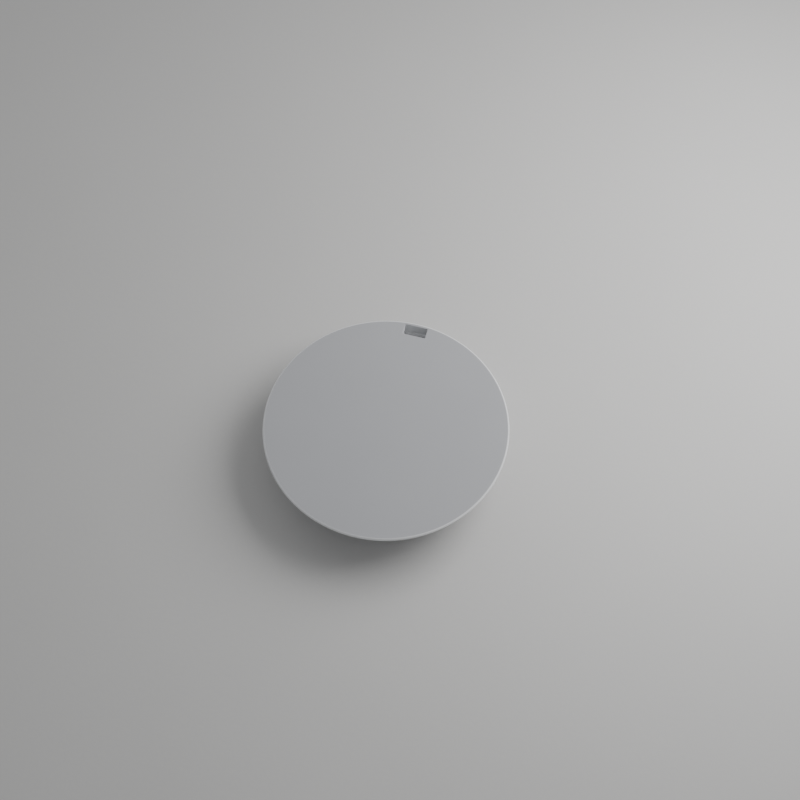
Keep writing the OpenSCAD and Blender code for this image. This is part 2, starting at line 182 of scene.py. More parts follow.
class StageSizes(bpy.types.PropertyGroup):
    azimuth: turn("Azimuth", "Turn of the camera about the tag", 15)
    elevation: turn("Elevation", "Rise of the camera above the table", 61.6)
    distance: size("Distance", "From the camera to the tag", 250)
    picture: size("Picture width", "Width of what the camera takes in at the tag", 123)
    aim_right: size("Aim right", "How far the camera aims to the right of the face", 2.15)
    aim_up: size("Aim up", "How far the camera aims above the face's centre", 4)
    key_power: amount("Key light", "Power of the wide light behind the tag, in watts", 0.255)
    side_power: amount("Side light", "Power of the near light on the right, in watts", 0.137)
    sky: amount("Sky", "Strength of the even light all round", 0.245)
    backdrop: amount("Backdrop", "Brightness of the pale wall behind the table", 0.5)
    floor: paint("Floor colour", "Colour of the table", (0.715, 0.707, 0.695))


SETTINGS = {
    "tag_cover": CoverSizes,
    "tag_shell": ShellSizes,
    "tag_door": DoorSizes,
    "tag_cell": CellSizes,
    "tag_board": BoardSizes,
    "tag_stage": StageSizes,
}


# ---- Node trees written as plain calls and expressions ----

class Wire:
    """An output socket. Python's operators on it add Math nodes to its tree."""

    def __init__(self, sheet, socket):
        self.sheet = sheet
        self.socket = socket

    def other(self, name):
        """Another output of the same node."""
        return Wire(self.sheet, self.socket.node.outputs[name])

    def math(self, operation, *values):
        return self.sheet.node("ShaderNodeMath", {"operation": operation},
                               dict(enumerate(values)))

    def __add__(self, value):
        return self.math("ADD", self, value)

    def __sub__(self, value):
        return self.math("SUBTRACT", self, value)

    def __rsub__(self, value):
        return self.math("SUBTRACT", value, self)

    def __mul__(self, value):
        return self.math("MULTIPLY", self, value)

    def __truediv__(self, value):
        return self.math("DIVIDE", self, value)

    def __mod__(self, value):
        return self.math("FLOORED_MODULO", self, value)

    def __gt__(self, value):
        return self.math("GREATER_THAN", self, value)

    def __lt__(self, value):
        return self.math("LESS_THAN", self, value)

    def __abs__(self):
        return self.math("ABSOLUTE", self)

    __radd__ = __add__
    __rmul__ = __mul__


class NodeSheet:
    """A node tree that one method fills in."""

    def __init__(self, tree):
        self.tree = tree

    def node(self, kind, settings=None, inputs=None, output=0):
        """Adds a node: its settings first, then the values or wires of its sockets."""
        node = self.tree.nodes.new(kind)
        for key, value in (settings or {}).items():
            if key == "stops":
                fill_ramp(node.color_ramp, value)
            else:
                setattr(node, key, value)
        for key, value in (inputs or {}).items():
            if isinstance(value, Wire):
                self.tree.links.new(value.socket, node.inputs[key])
            else:
                node.inputs[key].default_value = value
        return Wire(self, node.outputs[output])


def fill_ramp(ramp, stops):
    """Sets a colour ramp's stops from (place, grey value) pairs."""
    while len(ramp.elements) < len(stops):
        ramp.elements.new(0.5)
    for element, (place, grey) in zip(ramp.elements, stops):
        element.position = place
        element.color = (grey, grey, grey, 1)


def geometry_tree(name, sockets):
    """A new Geometry Nodes tree with named inputs: its sheet, and a wire from each input."""
    tree = bpy.data.node_groups.new(name, "GeometryNodeTree")
    tree.interface.new_socket("Geometry", in_out="OUTPUT", socket_type="NodeSocketGeometry")
    for label, kind in {"Geometry": "Geometry", **sockets, "Material": "Material"}.items():
        tree.interface.new_socket(label, in_out="INPUT", socket_type="NodeSocket" + kind)
    sheet = NodeSheet(tree)
    entry = sheet.node("NodeGroupInput")
    return sheet, {label: entry.other(label) for label in entry.socket.node.outputs.keys() if label}


def end_tree(sheet, given, geometry):
    """Makes the instances real, gives them the material and ends the tree."""
    real = sheet.node("GeometryNodeRealizeInstances", {}, {"Geometry": geometry})
    painted = sheet.node("GeometryNodeSetMaterial", {},
                         {"Geometry": real, "Material": given["Material"]})
    exit_node = sheet.tree.nodes.new("NodeGroupOutput")
    sheet.tree.links.new(painted.socket, exit_node.inputs[0])
    return sheet.tree


def turning_tree():
    """Sweeps an outline, drawn in X as radius and Y as height, round Z and closes its poles."""
    guide_r = 10 * MM
    sheet, given = geometry_tree("Turned piece", {"Segments": "Int", "Centre": "Vector"})
    guide = sheet.node("GeometryNodeCurvePrimitiveCircle", {},
                       {"Resolution": given["Segments"], "Radius": guide_r})
    outline = sheet.node("GeometryNodeMeshToCurve", {}, {"Mesh": given["Geometry"]})
    laid = sheet.node("GeometryNodeTransform", {},
                      {"Geometry": outline, "Translation": (-guide_r, 0, 0),
                       "Rotation": (math.pi, 0, 0)})
    swept = sheet.node("GeometryNodeCurveToMesh", {}, {"Curve": guide, "Profile Curve": laid})
    closed = sheet.node("GeometryNodeMergeByDistance", {},
                        {"Geometry": swept, "Distance": MERGE_DISTANCE})
    placed = sheet.node("GeometryNodeTransform", {},
                        {"Geometry": closed, "Translation": given["Centre"]})
    return end_tree(sheet, given, placed)


def ring_tree():
    """Copies of a piece round Z: the copy at the first angle, then one at each step."""
    sheet, given = geometry_tree("Ring of copies", {
        "Piece": "Object", "Count": "Int", "Radius": "Float", "First Angle": "Float",
        "Step": "Float"})
    index = sheet.node("GeometryNodeInputIndex")
    angle = index * given["Step"] + given["First Angle"]
    across = angle.math("COSINE", angle) * given["Radius"]
    along = angle.math("SINE", angle) * given["Radius"]
    place = sheet.node("ShaderNodeCombineXYZ", {}, {"X": across, "Y": along})
    points = sheet.node("GeometryNodePoints", {}, {"Count": given["Count"], "Position": place})
    heading = sheet.node("ShaderNodeCombineXYZ", {}, {"Z": angle})
    return end_tree(sheet, given, copies(sheet, given, points, heading))


def places_tree():
    """A copy of a piece at every point of the mesh that carries the tree."""
    sheet, given = geometry_tree("Copies at places", {"Piece": "Object", "Turn": "Float"})
    points = sheet.node("GeometryNodeMeshToPoints", {}, {"Mesh": given["Geometry"]})
    heading = sheet.node("ShaderNodeCombineXYZ", {}, {"Z": given["Turn"]})
    return end_tree(sheet, given, copies(sheet, given, points, heading))


def scatter_tree():
    """Copies of a piece spread over a surface, no closer than a spacing, by a fixed seed."""
    sheet, given = geometry_tree("Scattered copies", {
        "Piece": "Object", "Density": "Float", "Spacing": "Float", "Seed": "Int"})
    points = sheet.node("GeometryNodeDistributePointsOnFaces", {"distribute_method": "POISSON"}, {
        "Mesh": given["Geometry"], "Distance Min": given["Spacing"],
        "Density Max": given["Density"], "Seed": given["Seed"]})
    return end_tree(sheet, given, copies(sheet, given, points, (0, 0, 0)))


def copies(sheet, given, points, heading):
    """Instances of the tree's Piece on the points."""
    piece = sheet.node("GeometryNodeObjectInfo", {}, {"Object": given["Piece"]}, "Geometry")
    return sheet.node("GeometryNodeInstanceOnPoints", {},
                      {"Points": points, "Instance": piece, "Rotation": heading})


def run_tree(obj, make_tree, values):
    """Runs a Geometry Nodes tree on an object and keeps the result as the object's plain mesh."""
    tree = bpy.data.node_groups.get(make_tree.__name__)
    if tree is None:
        tree = make_tree()
        tree.name = make_tree.__name__
    modifier = obj.modifiers.new("shape", "NODES")
    modifier.node_group = tree
    sockets = {item.name: item.identifier for item in tree.interface.items_tree
               if item.in_out == "INPUT"}
    for label, value in values.items():
        modifier[sockets[label]] = value
    return settle(obj)


# ---- Meshes ----

def add_object(name, mesh):
    """A new object with that mesh, in the scene."""
    obj = bpy.data.objects.new(name, mesh)
    bpy.context.scene.collection.objects.link(obj)
    return obj


def settle(obj):
    """Turns what the modifiers give into the object's own mesh and removes them."""
    graph = bpy.context.evaluated_depsgraph_get()
    graph.update()
    mesh = bpy.data.meshes.new_from_object(obj.evaluated_get(graph), depsgraph=graph)
    obj.modifiers.clear()
    obj.data = mesh
    return obj


def face_outward(obj):
    """Turns every face of a closed mesh outward."""
    shape = bmesh.new()
    shape.from_mesh(obj.data)
    bmesh.ops.recalc_face_normals(shape, faces=shape.faces)
    shape.to_mesh(obj.data)
    shape.free()
    return obj


def rounded(corners, closed=True, steps=5):
    """Outline through (x, y, radius) corners, each rounded to its radius by a true arc."""
    outline = []
    last = len(corners) - 1
    for i, (x, y, radius) in enumerate(corners):
        corner = Vector((x, y))
        if radius == 0 or (not closed and i in (0, last)):
            outline.append(corner)
            continue
        back = (Vector(corners[i - 1][:2]) - corner).normalized()
        ahead = (Vector(corners[(i + 1) % len(corners)][:2]) - corner).normalized()
        half = back.angle(ahead) / 2
        centre = corner + (back + ahead).normalized() * radius / math.sin(half)
        start = corner + back * radius / math.tan(half) - centre
        end = corner + ahead * radius / math.tan(half) - centre
        sweep = math.atan2(start.x * end.y - start.y * end.x, start.dot(end))
        for k in range(steps + 1):
            outline.append(centre + Matrix.Rotation(sweep * k / steps, 2) @ start)
    return outline


def bend(start, control, end, steps=14):
    """Corners along a curve that leaves the start towards the control point and ends at the end."""
    corners = []
    for k in range(steps + 1):
        t = k / steps
        weights = ((1 - t) ** 2, 2 * t * (1 - t), t ** 2)
        point = sum((Vector(p) * w for p, w in zip((start, control, end), weights)), Vector((0, 0)))
        corners.append((point.x, point.y, 0))
    return corners


def turned(name, outline, segments=128, centre=(0, 0), closed=False):
    """A solid turned about Z, or about an upright axis through the centre."""
    mesh = bpy.data.meshes.new(name)
    total = len(outline)
    edges = [(i, (i + 1) % total) for i in range(total if closed else total - 1)]
    mesh.from_pydata([(x, y, 0) for x, y in outline], edges, [])
    obj = add_object(name, mesh)
    run_tree(obj, turning_tree, {"Segments": segments, "Centre": (*centre, 0)})
    return face_outward(obj)


def loft(name, rings):
    """A closed solid through rings of points that match one to one."""
    points = [point for ring in rings for point in ring]
    width = len(rings[0])
    faces = [tuple(range(width)), tuple(range(len(points) - width, len(points)))]
    for level in range(len(rings) - 1):
        for i in range(width):
            j = (i + 1) % width
            foot = level * width
            faces.append((foot + i, foot + j, foot + width + j, foot + width + i))
    mesh = bpy.data.meshes.new(name)
    mesh.from_pydata(points, [], faces)
    return face_outward(add_object(name, mesh))


def prism(name, outline, z0, z1):
    """An upright solid of that outline between two heights."""
    return loft(name, [[(x, y, z) for x, y in outline] for z in (z0, z1)])


def strip(name, outline, width):
    """An outline in radius and height, drawn that wide across +X."""
    return loft(name, [[(x, y, z) for x, z in outline] for y in (-width / 2, width / 2)])


def box_corners(centre, length, width, radius=0):
    """Corners of an upright rectangle, for rounded()."""
    x, y = centre
    return [(x + side * length / 2, y + end * width / 2, radius)
            for side, end in ((-1, -1), (1, -1), (1, 1), (-1, 1))]


def flared_cutter(name, centre, length, width, corner, levels):
    """A cutting solid with a rounded plan that grows or shrinks by (height, growth) levels."""
    return loft(name, [
        [(x, y, z) for x, y in
         rounded(box_corners(centre, length + 2 * grow, width + 2 * grow, corner + grow))]
        for z, grow in levels])


def lip(z, rounding, way, steps=5):
    """Levels that round an opening's edge at height z: way is 1 in an upper face, -1 in a lower."""
    angles = [math.pi / 2 * k / steps for k in range(steps + 1)]
    levels = [(z - way * rounding * (1 - math.sin(a)), rounding * (1 - math.cos(a))) for a in angles]
    return levels + [(z + way * OVERRUN, rounding)]


def thread_band(name, r_in, r_out, angle, z0, z1, lead, foot_z, steps=8):
    """A sector between two radii that climbs by the lead; its turn is counted from foot_z."""
    rings = []
    for k in range(steps + 1):
        z = z0 + (z1 - z0) * k / steps
        centre = (z - foot_z) / lead * 2 * math.pi
        angles = [centre + angle * (i / steps - 0.5) for i in range(steps + 1)]
        rings.append([(r * math.cos(a), r * math.sin(a), z)
                      for r, way in ((r_out, 1), (r_in, -1)) for a in angles[::way]])
    return loft(name, rings)


def combine(obj, operation, *tools):
    """Joins tools to a solid, or cuts them from it, and removes the tools."""
    for tool in tools:
        modifier = obj.modifiers.new("combine", "BOOLEAN")
        modifier.operation = operation
        modifier.solver = "MANIFOLD"
        modifier.object = tool
    settle(obj)
    for tool in tools:
        bpy.data.objects.remove(tool)
    return obj


def soften(obj, width, segments=2):
    """Rounds a solid's edges by that width."""
    modifier = obj.modifiers.new("soften", "BEVEL")
    modifier.width = width
    modifier.segments = segments
    modifier.limit_method = "ANGLE"
    modifier.angle_limit = SHARP_ANGLE
    return settle(obj)


def ring_of(name, piece, total, first, step=None, radius=0):
    """That many copies of a piece round Z, as one object; the angles are in degrees."""
    holder = add_object(name, bpy.data.meshes.new(name))
    run_tree(holder, ring_tree, {
        "Piece": piece, "Count": total, "Radius": radius, "First Angle": math.radians(first),
        "Step": math.radians(step or 360 / total)})
    bpy.data.objects.remove(piece)
    return holder


def copies_at(name, piece, places, degrees=0):
    """A copy of a piece at each place, as one object."""
    mesh = bpy.data.meshes.new(name)
    mesh.from_pydata(places, [], [])
    holder = add_object(name, mesh)
    run_tree(holder, places_tree, {"Piece": piece, "Turn": math.radians(degrees)})
    bpy.data.objects.remove(piece)
    return holder


def cad_copy(name, node):
    """A clean copy of a CAD node's mesh: its points merged and its flat faces whole."""
    shape = bmesh.new()
    shape.from_mesh(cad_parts[node].data)
    bmesh.ops.remove_doubles(shape, verts=shape.verts, dist=MERGE_DISTANCE)
    bmesh.ops.dissolve_limit(shape, angle_limit=math.radians(1), verts=shape.verts,
                             edges=shape.edges)
    mesh = bpy.data.meshes.new(name)
    shape.to_mesh(mesh)
    shape.free()
    return add_object(name, mesh)


def solids(node):
    """The box of each separate solid in a CAD node, as (lowest, highest) corners."""
    shape = bmesh.new()
    shape.from_mesh(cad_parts[node].data)
    bmesh.ops.remove_doubles(shape, verts=shape.verts, dist=MERGE_DISTANCE)
    left = set(shape.verts)
    boxes = []
    while left:
        start = min(left, key=lambda vert: vert.index)
        group = {start}
        edge_of_group = [start]
        while edge_of_group:
            vert = edge_of_group.pop()
            near = {edge.other_vert(vert) for edge in vert.link_edges} - group
            group |= near
            edge_of_group.extend(near)
        left -= group
        boxes.append(tuple(Vector(pick(vert.co[axis] for vert in group) for axis in range(3))
                           for pick in (min, max)))
    shape.free()
    return boxes


def finish(obj, material, body, slot, *nodes):
    """Gives a finished mesh its material and shading, and ties it to the frame."""
    obj.data.materials.clear()
    obj.data.materials.append(material)
    obj.data.shade_smooth()
    obj.data.set_sharp_from_angle(angle=SHARP_ANGLE)
    modifier = obj.modifiers.new("normals", "WEIGHTED_NORMAL")
    modifier.keep_sharp = True
    settle(obj)
    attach(obj, body)
    if nodes:
        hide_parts(*nodes)
    return obj


# ---- Materials ----

class Surface(NodeSheet):
    """A material whose shader inputs are set or wired by name."""

    def __init__(self, name, colour, **constants):
        self.material = bpy.data.materials.new(name)
        self.material.use_nodes = True
        self.material.diffuse_color = (*colour, 1)
        super().__init__(self.material.node_tree)
        self.shader = self.tree.nodes["Principled BSDF"]
        self.shader.inputs["Base Color"].default_value = (*colour, 1)
        for label, value in constants.items():
            self.shader.inputs[label.replace("_", " ")].default_value = value
        self.place = self.node("ShaderNodeTexCoord", output="Object")

    def feed(self, label, wire):
        """Wires something that varies to one of the shader's inputs."""
        self.tree.links.new(wire.socket, self.shader.inputs[label])

    def noise(self, grain, detail=2, place=None):
        """Noise whose blotches are about that long."""
        return self.node("ShaderNodeTexNoise", {}, {
            "Vector": place or self.place, "Scale": 1 / grain, "Detail": detail})

    def ramp(self, wire, *stops):
        """Maps a value through (place, grey) stops."""
        return self.node("ShaderNodeValToRGB", {"stops": stops}, {"Fac": wire})

    def mix(self, mask, one, two):
        """A colour between two colours."""
        def as_colour(value):
            return value if isinstance(value, Wire) else (*value, 1)
        return self.node("ShaderNodeMix", {"data_type": "RGBA"},
                         {0: mask, 6: as_colour(one), 7: as_colour(two)}, 2)

    def axes(self, place=None):
        """The separate X, Y and Z of a place."""
        split = self.node("ShaderNodeSeparateXYZ", {}, {0: place or self.place})
        return split, split.other("Y"), split.other("Z")

    def moved(self, offset, stretch=(1, 1, 1)):
        """The place, counted from an offset and stretched."""
        return self.node("ShaderNodeMapping", {"vector_type": "POINT"}, {
            "Vector": self.place, "Location": [-o * s for o, s in zip(offset, stretch)],
            "Scale": stretch})

    def radius(self, place=None):
        """Distance from the place's upright axis."""
        x, y, _ = self.axes(place)
        return x.math("SQRT", x * x + y * y)

    def bump(self, height, depth, strength=1.0):
        """Raises the surface by a height from 0 to 1 over that depth."""
        relief = self.node("ShaderNodeBump", {}, {
            "Height": height, "Distance": depth, "Strength": strength})
        self.feed("Normal", relief)


def shade(colour, factor):
    """The colour, lighter or darker."""
    return tuple(min(1.0, c * factor) for c in colour)


def moulded(name, colour, roughness=0.6, grain=0.16 * MM, depth=0.006 * MM, wear_and_light=None,
            wear_and_light_shade=1.1):
    """Matt moulded plastic: fine spark grain, faint flow clouds, and a lighter, glossier skin where the
    given mask is 1: real scuffs on the shell's base, painted highlight and painted light on the cover.
    """
    surface = Surface(name, colour, Specular_IOR_Level=0.25)
    clouds = surface.noise(9 * MM, 3)
    specks = surface.noise(0.45 * MM, 2)
    tone = clouds * 0.7 + specks * 0.3
    skin = surface.mix(tone, shade(colour, 0.965), shade(colour, 1.03))
    gloss = roughness + (specks - 0.5) * 0.12
    if wear_and_light is not None:
        wear_and_light_mask = wear_and_light(surface)
        # Lightens the colour where the mask is 1: on the cover this is painted highlight and painted
        # light, on the shell's base real scuffs.
        skin = surface.mix(wear_and_light_mask, skin, shade(colour, wear_and_light_shade))
        gloss = gloss - wear_and_light_mask * 0.12
    surface.feed("Base Color", skin)
    surface.feed("Roughness", gloss)
    surface.bump(surface.noise(grain, 3), depth)
    return surface.material


def cover_wear(surface):
    """Painted highlight along the cover's outer edge, where real polish also makes it glossier, and
    painted light inside its slot, broken up by fine noise.
    """
    near, _ = slot_places(bpy.context.scene.tag_cover)
    length = bpy.context.scene.tag_cover.slot_length
    margin = 0.1 * MM
    band = 0.5 * MM
    x, y, z = surface.axes()
    # Painted highlight on the rounded outer edge.
    edge = surface.ramp((surface.radius() - BODY_R) / band + 1, (0.4, 0), (0.75, 1))
    # Painted light on the shaded walls inside the slot.
    slot_painted_light = (abs(x) < length / 2 + margin) * (y > near - margin) * (z < FACE_Z - 0.08 * MM)
    wear_and_light_mask = edge.math("MAXIMUM", edge, slot_painted_light * 0.45)
    return wear_and_light_mask * (surface.noise(1.4 * MM, 3) * 0.4 + 0.8)


def base_wear(surface):
    """Scuffs on the ring that the tag rests on."""
    _, _, z = surface.axes()
    touching = z < 0.12 * MM
    drawn_out = (1, 0.15, 1)
    scuffs = surface.noise(0.3 * MM, 4, surface.moved((0, 0, 0), drawn_out))
    return touching * surface.ramp(scuffs, (0.56, 0), (0.7, 1))


def metal(name, colour, roughness, centre=(0, 0, 0), spun=True, grain=0.12 * MM):
    """Spun or rolled metal: fine lines round the centre, or along X, and cloudy gloss."""
    surface = Surface(name, colour, Metallic=1.0)
    if spun:
        rings = surface.radius(surface.moved(centre))
        place = surface.node("ShaderNodeCombineXYZ", {}, {"X": rings})
    else:
        place = surface.moved(centre, (0.04, 1, 1))
    lines = surface.noise(grain, 3, place)
    clouds = surface.noise(3 * MM, 4)
    surface.feed("Base Color", surface.mix(clouds, shade(colour, 0.88), shade(colour, 1.06)))
    surface.feed("Roughness", roughness + (lines - 0.5) * 0.18 + (clouds - 0.5) * 0.16)
    surface.bump(lines, 0.004 * MM, 0.6)
    return surface.material


def foam(name, colour):
    """Closed-cell foam: small raised cells, with painted shade darkening the low gaps between them."""
    surface = Surface(name, colour, Roughness=0.95)
    cells = surface.node("ShaderNodeTexVoronoi", {}, {"Vector": surface.place, "Scale": 1 / (0.09 * MM)})
    pits = surface.ramp(cells, (0.1, 1), (0.75, 0))
    # Painted shade: the gaps between the cells are darkened.
    surface.feed("Base Color", surface.mix(pits, shade(colour, 0.5), shade(colour, 1.3)))
    surface.bump(pits, 0.03 * MM)
    return surface.material


def rubber(name, colour):
    """Soft rubber: low sheen, a dusty bloom and a fine skin."""
    surface = Surface(name, colour, Sheen_Weight=0.25)
    bloom = surface.noise(1.2 * MM, 5)
    surface.feed("Base Color", surface.mix(bloom, shade(colour, 0.8), shade(colour, 1.5)))
    surface.feed("Roughness", 0.55 + bloom * 0.25)
    surface.bump(surface.noise(0.05 * MM, 2), 0.004 * MM)
    return surface.material


def ceramic(name, colour, roughness=0.35):
    """Fired ceramic or moulded resin: dense grain with darker specks."""
    surface = Surface(name, colour)
    grain = surface.noise(0.06 * MM, 3)
    specks = surface.ramp(surface.noise(0.14 * MM, 2), (0.62, 0), (0.68, 1))
    body = surface.mix(grain, shade(colour, 0.86), shade(colour, 1.12))
    surface.feed("Base Color", surface.mix(specks * 0.4, body, shade(colour, 0.55)))
    surface.feed("Roughness", roughness + grain * 0.25)
    surface.bump(grain, 0.006 * MM)
    return surface.material


def board_material(name, mask):
    """Lacquered board: broken copper tracks under the mask, and bare glass cloth at its edge."""
    pitch = 0.9 * MM
    surface = Surface(name, mask, Coat_Weight=0.35, Coat_Roughness=0.12)
    x, y, _ = surface.axes()
    blocks = surface.node("ShaderNodeTexVoronoi", {"distance": "CHEBYCHEV"},
                          {"Vector": surface.place, "Scale": 1 / (3.2 * MM)}, "Color")
    flow = blocks > 0.5
    lane = flow * x + (1 - flow) * y
    track = abs((lane / pitch) % 1 - 0.5) < 0.13
    held = surface.noise(4.5 * MM, 1) > 0.47
    copper = track * held
    pour = surface.noise(7 * MM, 1) > 0.56
    laid = copper.math("MAXIMUM", copper, pour)
    skin = surface.mix(laid, mask, (mask[0] * 2.6, mask[1] * 1.9, mask[2] * 1.7))
    edge = surface.radius() > BOARD_R - 0.04 * MM
    cloth = surface.mix(surface.noise(0.3 * MM, 3), (0.42, 0.40, 0.22), (0.62, 0.60, 0.38))
    surface.feed("Base Color", surface.mix(edge, skin, cloth))
    surface.feed("Roughness", 0.34 + surface.noise(0.6 * MM, 3) * 0.2 + edge * 0.3)
    surface.bump(laid, 0.012 * MM)
    return surface.material


def paper(name, colour):
    """Fibrous sheet, for the cell's separator."""
    surface = Surface(name, colour)
    fibres = surface.noise(0.2 * MM, 5, surface.moved((0, 0, 0), (1, 0.2, 1)))
    surface.feed("Base Color", surface.mix(fibres, shade(colour, 0.82), shade(colour, 1.05)))
    surface.feed("Roughness", 0.8 + fibres * 0.15)
    surface.bump(fibres, 0.01 * MM)
    return surface.material


def table_top(name, colour):
    """Pale table: faint clouds and a fine eggshell skin."""
    surface = Surface(name, colour, Specular_IOR_Level=0.3)
    clouds = surface.noise(28 * MM, 3)
    skin = surface.noise(0.8 * MM, 3)
    surface.feed("Base Color", surface.mix(clouds * 0.6 + skin * 0.4, shade(colour, 0.955),
                                           shade(colour, 1.03)))
    surface.feed("Roughness", 0.6 + (skin - 0.5) * 0.1)
    surface.bump(skin, 0.02 * MM, 0.5)
    return surface.material


PLATED = (0.66, 0.64, 0.60)
STEEL = (0.62, 0.62, 0.62)
WHITE_PLASTIC = (0.62, 0.62, 0.60)
DARK_PLASTIC = (0.035, 0.035, 0.038)
FOAM_GREY = (0.06, 0.063, 0.07)
SOUNDER_Y = (low("buzzer_plate").y + high("buzzer_plate").y) / 2

MATERIALS = {
    # The cover's edge and slot are lightened twofold: painted highlight and painted light.
    "cover_plastic": lambda name: moulded(name, bpy.context.scene.tag_cover.colour, wear_and_light=cover_wear,
                                           wear_and_light_shade=2.0),
    "shell_plastic": lambda name: moulded(name, bpy.context.scene.tag_shell.colour, 0.46,
                                           wear_and_light=base_wear),
    "inner_plastic": lambda name: moulded(name, WHITE_PLASTIC, 0.5),
    "switch_plastic": lambda name: moulded(name, DARK_PLASTIC, 0.5, 0.08 * MM),
    "cell_plastic": lambda name: moulded(name, (0.05, 0.05, 0.055), 0.4, 0.1 * MM),
    "foam_seal": lambda name: foam(name, FOAM_GREY),
    "soft_rubber": lambda name: rubber(name, (0.03, 0.031, 0.034)),
    "nickel": lambda name: metal(name, PLATED, 0.26, spun=False),
    "screw_steel": lambda name: metal(name, STEEL, 0.3, spun=False, grain=0.05 * MM),
    "crystal_can": lambda name: metal(name, (0.70, 0.69, 0.66), 0.3, spun=False),
    "gold_plate": lambda name: metal(name, (0.86, 0.61, 0.26), 0.28, spun=False),
    "tin": lambda name: metal(name, (0.74, 0.74, 0.73), 0.34, spun=False, grain=0.2 * MM),
    "spring_steel": lambda name: metal(name, (0.58, 0.58, 0.58), 0.22),
    "cell_steel": lambda name: metal(name, (0.68, 0.675, 0.66), 0.24),
    "sounder_brass": lambda name: metal(name, (0.80, 0.56, 0.25), 0.25,
                                         (0, SOUNDER_Y, 0)),
    "lithium": lambda name: metal(name, (0.52, 0.53, 0.55), 0.5, spun=False, grain=0.4 * MM),
    "circuit_board": lambda name: board_material(name, bpy.context.scene.tag_board.mask),
    "chip_resin": lambda name: ceramic(name, (0.028, 0.028, 0.03), 0.5),
    "ferrite": lambda name: ceramic(name, (0.06, 0.06, 0.065), 0.55),
    "aerial_ceramic": lambda name: ceramic(name, (0.74, 0.70, 0.60)),
    "capacitor_ceramic": lambda name: ceramic(name, (0.40, 0.27, 0.16)),
    "sounder_ceramic": lambda name: ceramic(name, (0.72, 0.68, 0.56), 0.5),
    "cathode_mix": lambda name: ceramic(name, (0.025, 0.025, 0.025), 0.7),
    "separator_film": lambda name: paper(name, (0.80, 0.80, 0.77)),
}


def material(slot):
    """The finish for a material slot, made when it is first asked for."""
    name = slot + "_finish"
    return bpy.data.materials.get(name) or MATERIALS[slot](name)


# ---- Front cover ----

def slot_cutter(near, far, levels):
    """A cutting solid for the strap slot, between two places on Y."""
    length = bpy.context.scene.tag_cover.slot_length
    return flared_cutter("slot", (0, (near + far) / 2), length, far - near, 0.12 * MM, levels)


def slot_places(sizes):
    """Where the slot in the cover starts and ends on Y."""
    far = BODY_R - sizes.slot_bridge
    return far - sizes.slot_width, far


def cover_hooks(sizes, under):
    """The four snap hooks under the face."""
    outer = RIM_R - 1.5 * MM
    inner = outer - sizes.hook_wall
    barb_z = HOOK_Z + 0.5 * MM
    fillet = 0.1 * MM
    hook = strip("hook", rounded([
        (inner, under + 0.2 * MM, 0), (outer, under + 0.2 * MM, 0), (outer, barb_z, fillet),
        (outer + 0.5 * MM, barb_z, fillet), (outer, HOOK_Z, fillet), (inner, HOOK_Z, fillet),
    ]), sizes.hook_width)
    soften(hook, 0.06 * MM)
    return ring_of("hooks", hook, 4, 45)


def slot_ear(near, reach_r, z0, z1):
    """Rounded solid round the slot, out to a radius, between two heights."""
    ear_r = bpy.context.scene.tag_cover.slot_length / 2 + 2.2 * MM
    corner_fillet = 0.8 * MM
    middle = near - 1.1 * MM
    corner_y = (reach_r ** 2 - ear_r ** 2 + middle ** 2) / (2 * middle)
    side_turn = math.asin((corner_y - middle) / ear_r)
    front_turn = math.acos(corner_y / reach_r)
    steps = 6
    side = []
    for i in range(steps + 1):
        angle = side_turn * i / steps
        side.append((ear_r * math.cos(angle), middle + ear_r * math.sin(angle),
                     corner_fillet if i == steps else 0))
    front = []
    for i in range(1, 2 * steps):
        angle = front_turn * (1 - i / steps)
        front.append((reach_r * math.sin(angle), reach_r * math.cos(angle), 0))
    other_side = [(-x, y, fillet) for x, y, fillet in reversed(side)]
    return soften(prism("ear", rounded(side + front + other_side), z0, z1), 0.12 * MM)


def cover_ear(sizes, inner, under):
    """Ear on the skirt that keeps the bridge outside the slot thick."""
    foot = FACE_Z - sizes.skirt_depth
    near, _ = slot_places(sizes)
    ear = slot_ear(near, BODY_R - 0.02 * MM, foot, FACE_Z - 0.2 * MM)
    room = turned("room", [(0, foot - OVERRUN), (inner, foot - OVERRUN), (inner, under), (0, under)],
                  256)
    return combine(ear, "DIFFERENCE", room)


def make_cover(scene):
    """The face, its leaning skirt, the slot with its ear, and the snap hooks."""
    sizes = scene.tag_cover
    under = FACE_Z - sizes.face_wall
    foot = FACE_Z - sizes.skirt_depth
    inner = BODY_R - sizes.skirt_wall
    cover = turned("front_cover_moulding", rounded([
        (0, FACE_Z, 0),
        (BODY_R * 0.8, FACE_Z, 0),
        (BODY_R, FACE_Z, sizes.edge_radius),
        (BODY_R, FACE_Z - sizes.edge_radius - 0.08 * MM, 0.2 * MM),
        (inner + sizes.skirt_foot, foot, 0.1 * MM),
        (inner, foot, 0.08 * MM),
        (inner, under, 0.15 * MM),
        (BODY_R * 0.8, under, 0),
        (0, under, 0),
    ], closed=False, steps=8), 256)
    combine(cover, "UNION", cover_ear(sizes, inner, under), cover_hooks(sizes, under))
    levels = [(foot - 1 * MM, 0)] + lip(FACE_Z, sizes.slot_rounding, 1)
    combine(cover, "DIFFERENCE", slot_cutter(*slot_places(sizes), levels))
    finish(cover, material("cover_plastic"), "cover_body", "cover_plastic", "front_cover")


def make_button_pad():
    """Rubber disc with a domed nib, under the middle of the face."""
    foot, top = low("button_pad").z, high("button_pad").z
    outer = high("button_pad").x
    disc_z = top - 0.1 * MM
    nib = 0.65 * MM
    pad = turned("button_pad_rubber", rounded([
        (0, foot, 0), (nib, foot, 0.12 * MM), (nib, disc_z, 0.08 * MM),
        (outer, disc_z, 0.04 * MM), (outer, top, 0), (0, top, 0),
    ], closed=False), 64)
    finish(pad, material("soft_rubber"), "cover_body", "soft_rubber", "button_pad")


